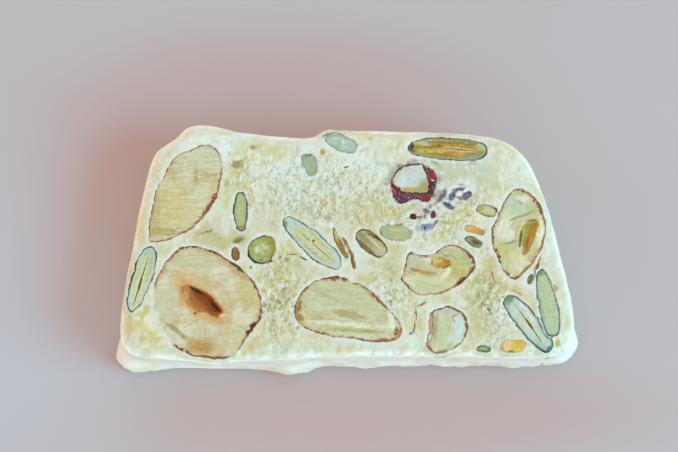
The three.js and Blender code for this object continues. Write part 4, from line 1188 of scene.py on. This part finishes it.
pistachios = {
    "pistachio_1": dict(
        at=(-16.6, -1.2), turn=60, flesh=("a3b374", "a8ad58"), coat=("7c7a30", "9c9240"), width=0.24,
        ring=("a5ad50", 0.2), speckle=0.7,
        tones=[("c9d3ac", (-0.4, 0.3), (1.6, 1.2), 0, 0.6), ("a59a30", (2.2, -0.6), (0.7, 1.8), 0, 0.85),
               ("8c9a4c", (0.8, -1.6), (1.4, 0.4), 20, 0.8), ("dfe6cc", (-0.6, 0.9), (0.7, 0.4), 30, 0.7),
               ("93a45c", (-1.6, -0.8), (0.5, 1.0), 0, 0.7), ("d6dcb4", (0.9, -0.2), (0.5, 0.7), 0, 0.6)],
        skins=[("a3921c", (1.8, -1.2), (2.0, 2.0), 0.3), ("4c2424", (-2.6, 1.0), (1.4, 2.2), 0.12),
               ("7a6a1c", (2.6, 1.6), (1.4, 1.2), 0.1), ("5c3a2c", (-1.6, -2.2), (1.4, 1.0), 0.05)],
    ),
    "pistachio_2": dict(
        at=(-20.9, 6.3), turn=91, flesh=("b5c290", "bcc286"), coat=("2f382c", "5c6848"), width=0.24,
        ring=("9aa878", 0.5), tones=[("a98f36", (-3.3, 0), (0.6, 0.6), 0, 0.9)],
    ),
    "pistachio_3": dict(
        at=(27.4, 6.5), turn=-9, flesh=("d0cd94", "c6d0a6"), coat=("8c8f50", "a9ac77"), ring=("c3c68c", 0.4),
        tones=[("cda236", (-1.5, 0.3), (0.7, 0.6), 0, 0.9), ("3f4222", (1.3, 0.8), (0.8, 0.3), -20, 0.9)],
        skins=[("37391e", (1.8, 0.6), (0.8, 0.8), 0.15), ("7c8a54", (0.4, -1.0), (1.6, 0.5), 0.05)],
    ),
    "pistachio_4": dict(
        at=(24.6, 0.3), turn=-24, flesh=("6f6842", "7c6a52"), coat=("3d4022", "7c8450"),
        ring=("8a9060", 0.5),
        tones=[("5c4a3c", (0.6, 0.1), (0.7, 0.5), 0, 0.9), ("9ca27c", (-1.2, 0.1), (0.6, 0.4), 0, 0.8)],
    ),
    "pistachio_5": dict(
        at=(26.3, -20.7), turn=0, flesh=("a3b07c", "98a66c"), coat=("4c5438", "7c8457"),
        ring=("b9c47c", 0.4),
        tones=[("2f3a30", (1.2, 0.0), (0.5, 0.6), 0, 0.85), ("cfc95c", (-0.6, 0.8), (0.7, 0.25), 0, 0.8)],
    ),
    "pistachio_6": dict(at=(31.5, 13.5), turn=50, flesh=("bccb96", "b6bf74"), coat=("5b3d2c", "9c8f3c")),
}
set_seeds(pistachios)


# The dried fruit
# Bits of cranberry, blueberry, candied peel, apricot and sultana: sticky, wrinkled and darker at
# their skins, with sugar from the nougat dried on to them.

fruit_grain = 0.2
fruit_skin = 0.3


def fruit_finish(name, pulp, skin, sugar, tones, fray):
    """The finish of a bit of dried fruit: pulp and skin are pairs of colours. sugar is how much is
    dried on to it, and fray how much of the nougat clings to its edge, both as shares."""
    finish, paint = new_finish(name)
    where = millimetres(paint)
    rim = noted(paint, "rim")
    grains = mottle(where, 0.35, detail=3.0, seed=len(name))
    cloud = mottle(where, 1.2, detail=2.0, seed=len(name) + 1)
    colour = blend(rise(cloud, 0.4, 0.6), tint(pulp[0]), tint(pulp[1]))
    edge = fruit_skin * (0.3 + 1.4 * cloud)
    husk = blend(grains, tint(skin[0]), tint(skin[1]))
    colour = blend(rise(rim, edge + 0.12, edge - 0.08), colour, husk)
    colour = daub(astray(where, 0.3, 0.9), colour, tones, 0.9 * (grains - 0.5), 0.35)
    colour = blend(0.6 * rise(grains, 0.44, 0.32), colour, tint(skin[0]))
    crusted = foam(where, 0.4, 0.42, seed=3)
    colour = blend(sugar * crusted, colour, tint("cfd3e2"))
    if fray:
        frayed = rise(rim + 1.6 * (grains - 0.5), 0.1, -0.1)
        colour = blend(fray * frayed, colour, tint("dbe2e6"))
    height = grains + 0.6 * cloud
    return complete(paint, finish, colour, height, 0.3, 0.28 + 0.3 * grains, 0.4)


# Each bit of fruit: its slot, pulp, skin, share of sugar and tones.
fruit = {
    "cranberry_1": ("cranberry", ("8a2030", "431224"), ("5a1418", "7c2c3c"), 0.4, [
        ("6a2450", (11.0, 8.8), (1.9, 1.1), -10, 0.9), ("2c2448", (12.6, 8.3), (1.2, 0.4), -10, 0.7),
        ("8c1c14", (15.2, 8.9), (1.3, 0.7), -10, 0.9), ("34202c", (16.9, 11.4), (0.6, 1.1), 0, 0.9),
        # The small white dot e6e6ee is a painted glint of wet highlight on the red pulp.
        ("a02418", (16.4, 13.6), (0.8, 0.9), 0, 0.9), ("e6e6ee", (16.8, 12.6), (0.25, 0.2), 0, 0.9),
        ("a52a20", (8.7, 11.0), (0.6, 1.4), 10, 0.9), ("c4c4dc", (11.8, 9.1), (0.2, 0.2), 0, 0.7),
        ("2c2034", (10.2, 8.2), (0.5, 0.25), 0, 0.8),
    ]),
    "cranberry_2": ("cranberry", ("7c2410", "4a120a"), ("3c0e08", "6a2018"), 0.0, []),
    "cranberry_3": ("cranberry", ("96203c", "6a1428"), ("5a1e3c", "8a3450"), 0.1, []),
    "cranberry_4": ("cranberry", ("6a2429", "43161c"), ("3f1a26", "5d2538"), 0.3, []),
    "blueberry_1": ("blueberry", ("8c9cc8", "5f648c"), ("4c5a84", "b4bfdc"), 0.7, [
        ("8c2a40", (17.3, 2.9), (0.7, 0.5), 30, 0.9), ("2c3458", (15.0, 3.1), (0.3, 0.4), 0, 0.8),
    ]),
    "blueberry_2": ("blueberry", ("3a4c58", "52646c"), ("2c3e48", "6c8490"), 0.25, []),
    "blueberry_3": ("blueberry", ("4c5468", "7d7a9a"), ("2e3448", "7c84a4"), 0.5, []),
    "blueberry_4": ("blueberry", ("5c3848", "6c6888"), ("3c2c3c", "7d7a9c"), 0.4, []),
    "peel_1": ("peel", ("e3cf6a", "dcc860"), ("cfae4c", "ddd08c"), 0.0, [
        ("e4d8a4", (30.6, -20.0), (1.0, 1.1), 0, 0.85), ("deb43c", (33.2, -19.6), (1.0, 0.9), 0, 0.7),
        ("6b6a34", (31.6, -21.3), (1.0, 0.12), -4, 0.8),
    ]),
    "peel_2": ("peel", ("e3ae46", "deb458"), ("c88c34", "e3c488"), 0.0, [
        ("c97c24", (26.2, 2.0), (0.8, 0.6), -30, 0.7), ("e8c878", (23.6, 3.2), (0.8, 0.4), 0, 0.6),
    ]),
    "apricot_1": ("apricot", ("c9a652", "bf9440"), ("8a6a26", "a88a3c"), 0.0, [
        ("e6d088", (-2.2, 1.6), (0.25, 0.9), 25, 0.8), ("8a641c", (-1.0, -1.2), (0.2, 1.4), 25, 0.7),
    ]),
    "apricot_2": ("apricot", ("c9aa56", "b98c38"), ("8a6a26", "a88a3c"), 0.0, [
        ("e6d494", (-0.1, -1.0), (0.2, 0.8), 20, 0.8), ("5c4410", (0.9, -3.4), (0.2, 1.2), 15, 0.8),
    ]),
    "sultana_1": ("sultana", ("c4c296", "b4ac6a"), ("5c4418", "86742e"), 0.0, [
        # The pale band d3d9c4 along the sultana is a painted highlight.
        ("d3d9c4", (5.0, 0.2), (2.4, 0.3), -38, 0.9), ("7c5c1c", (3.4, -0.6), (3.0, 0.35), -42, 0.85),
        ("8f8f5e", (3.0, 1.2), (1.6, 0.6), -40, 0.7), ("c3cbb0", (6.6, -1.8), (1.2, 0.8), -40, 0.8),
        ("4c3410", (5.4, 1.2), (2.6, 0.18), -30, 0.9),
    ]),
    "sultana_2": ("sultana", ("966428", "a07432"), ("6a4414", "86602a"), 0.0, [
        ("8c8a4c", (-21.7, -0.9), (0.7, 0.4), 0, 0.7),
    ]),
    "sultana_3": ("sultana", ("8a7c3c", "767a4c"), ("6a5a2c", "8a8450"), 0.0, [
        ("8a9a9c", (34.8, -7.0), (0.3, 0.9), 0, 0.7),
    ]),
}
for name, (slot, pulp, skin, sugar, tones) in fruit.items():
    mesh = freshly_cut(name, shown_height(name), fruit_grain)
    fray = 0.8 if slot == "blueberry" else 0.0
    place(mesh, name + "_cut", fruit_finish(name, pulp, skin, sugar, tones, fray), [name])


# The table top, the light and the camera
# A plain pale board under a broad window on the right, with the room's warm light filling in.

half_table = 1.5
table = bmesh.new()
bmesh.ops.create_grid(table, x_segments=1, y_segments=1, size=half_table)
table_mesh = bpy.data.meshes.new("table")
table.to_mesh(table_mesh)
table.free()
board = bpy.data.objects.new("table", table_mesh)
bpy.context.scene.collection.objects.link(board)
finish, paint = new_finish("table")
where = millimetres(paint)
haze = mottle(where, 90.0, detail=1.0, seed=1)
colour = blend(haze, tint("bdb9c0"), tint("bfbcc4"))
# Painted shadow: a soft pinkish shade painted on the board all round the slice, stronger behind it and in
# front of it.
colour = blend(0.9 * spot(where, (-5, -2), (58, 42), 0, 0.4), colour, tint("c0aeb1"))
colour = blend(0.8 * spot(where, (-16, 34), (38, 13), 0, 0.6), colour, tint("bea9ac"))
colour = blend(0.8 * spot(where, (8, -31), (48, 9), 0, 0.6), colour, tint("c4abac"))
colour = blend(spot(where, (-88, -14), (42, 34), 0, 0.5), colour, tint("bfc1ce"))
surface = paint.node("BsdfPrincipled", {}, {
    "Base Color": colour, "Roughness": 0.7, "Specular IOR Level": 0.2,
})
paint.node("OutputMaterial", {}, {"Surface": surface})
table_mesh.materials.append(finish)

room = bpy.data.worlds.new("room")
room.use_nodes = True
bpy.context.scene.world = room
backdrop = room.node_tree.nodes["Background"]
backdrop.inputs["Color"].default_value = (0.90, 0.56, 0.47, 1)
backdrop.inputs["Strength"].default_value = 0.95


def window(name, at, size, power, colour):
    """A broad soft light that faces the slice, from a place in metres."""
    light = bpy.data.lights.new(name, "AREA")
    light.shape = "DISK"
    light.size = size
    light.energy = power
    light.color = colour
    lamp = bpy.data.objects.new(name, light)
    lamp.location = at
    turned = (-lamp.location).to_track_quat("-Z", "Y")
    lamp.rotation_euler = turned.to_euler()
    bpy.context.scene.collection.objects.link(lamp)


window("window", (1.36, -0.42, 1.0), 1.1, 21.2, (0.19, 0.87, 0.98))
window("front_window", (0.0, -1.3, 0.12), 0.5, 3.9, (0.34, 0.88, 0.92))
window("left_window", (-1.3, 0.2, 0.1), 0.5, 4.0, (0.75, 0.8, 0.25))
window("back_window", (-0.5, 1.2, 0.2), 0.5, 2.5, (0.35, 0.9, 0.75))
window("skylight", (0.1, 0.0, 1.1), 2.2, 2.9, (0.19, 0.87, 0.98))

camera_tilt = math.radians(12)
camera_distance = 0.404
looks_at = (-0.00169, 0.00344, 0.015)
camera = bpy.data.objects.new("camera", bpy.data.cameras.new("camera"))
camera.data.lens = 110
camera.data.sensor_width = 36
camera.location = (
    looks_at[0],
    looks_at[1] - camera_distance * math.sin(camera_tilt),
    looks_at[2] + camera_distance * math.cos(camera_tilt),
)
camera.rotation_euler = (camera_tilt, 0, 0)
bpy.context.scene.collection.objects.link(camera)
bpy.context.scene.camera = camera
bpy.context.scene.view_settings.view_transform = "Standard"
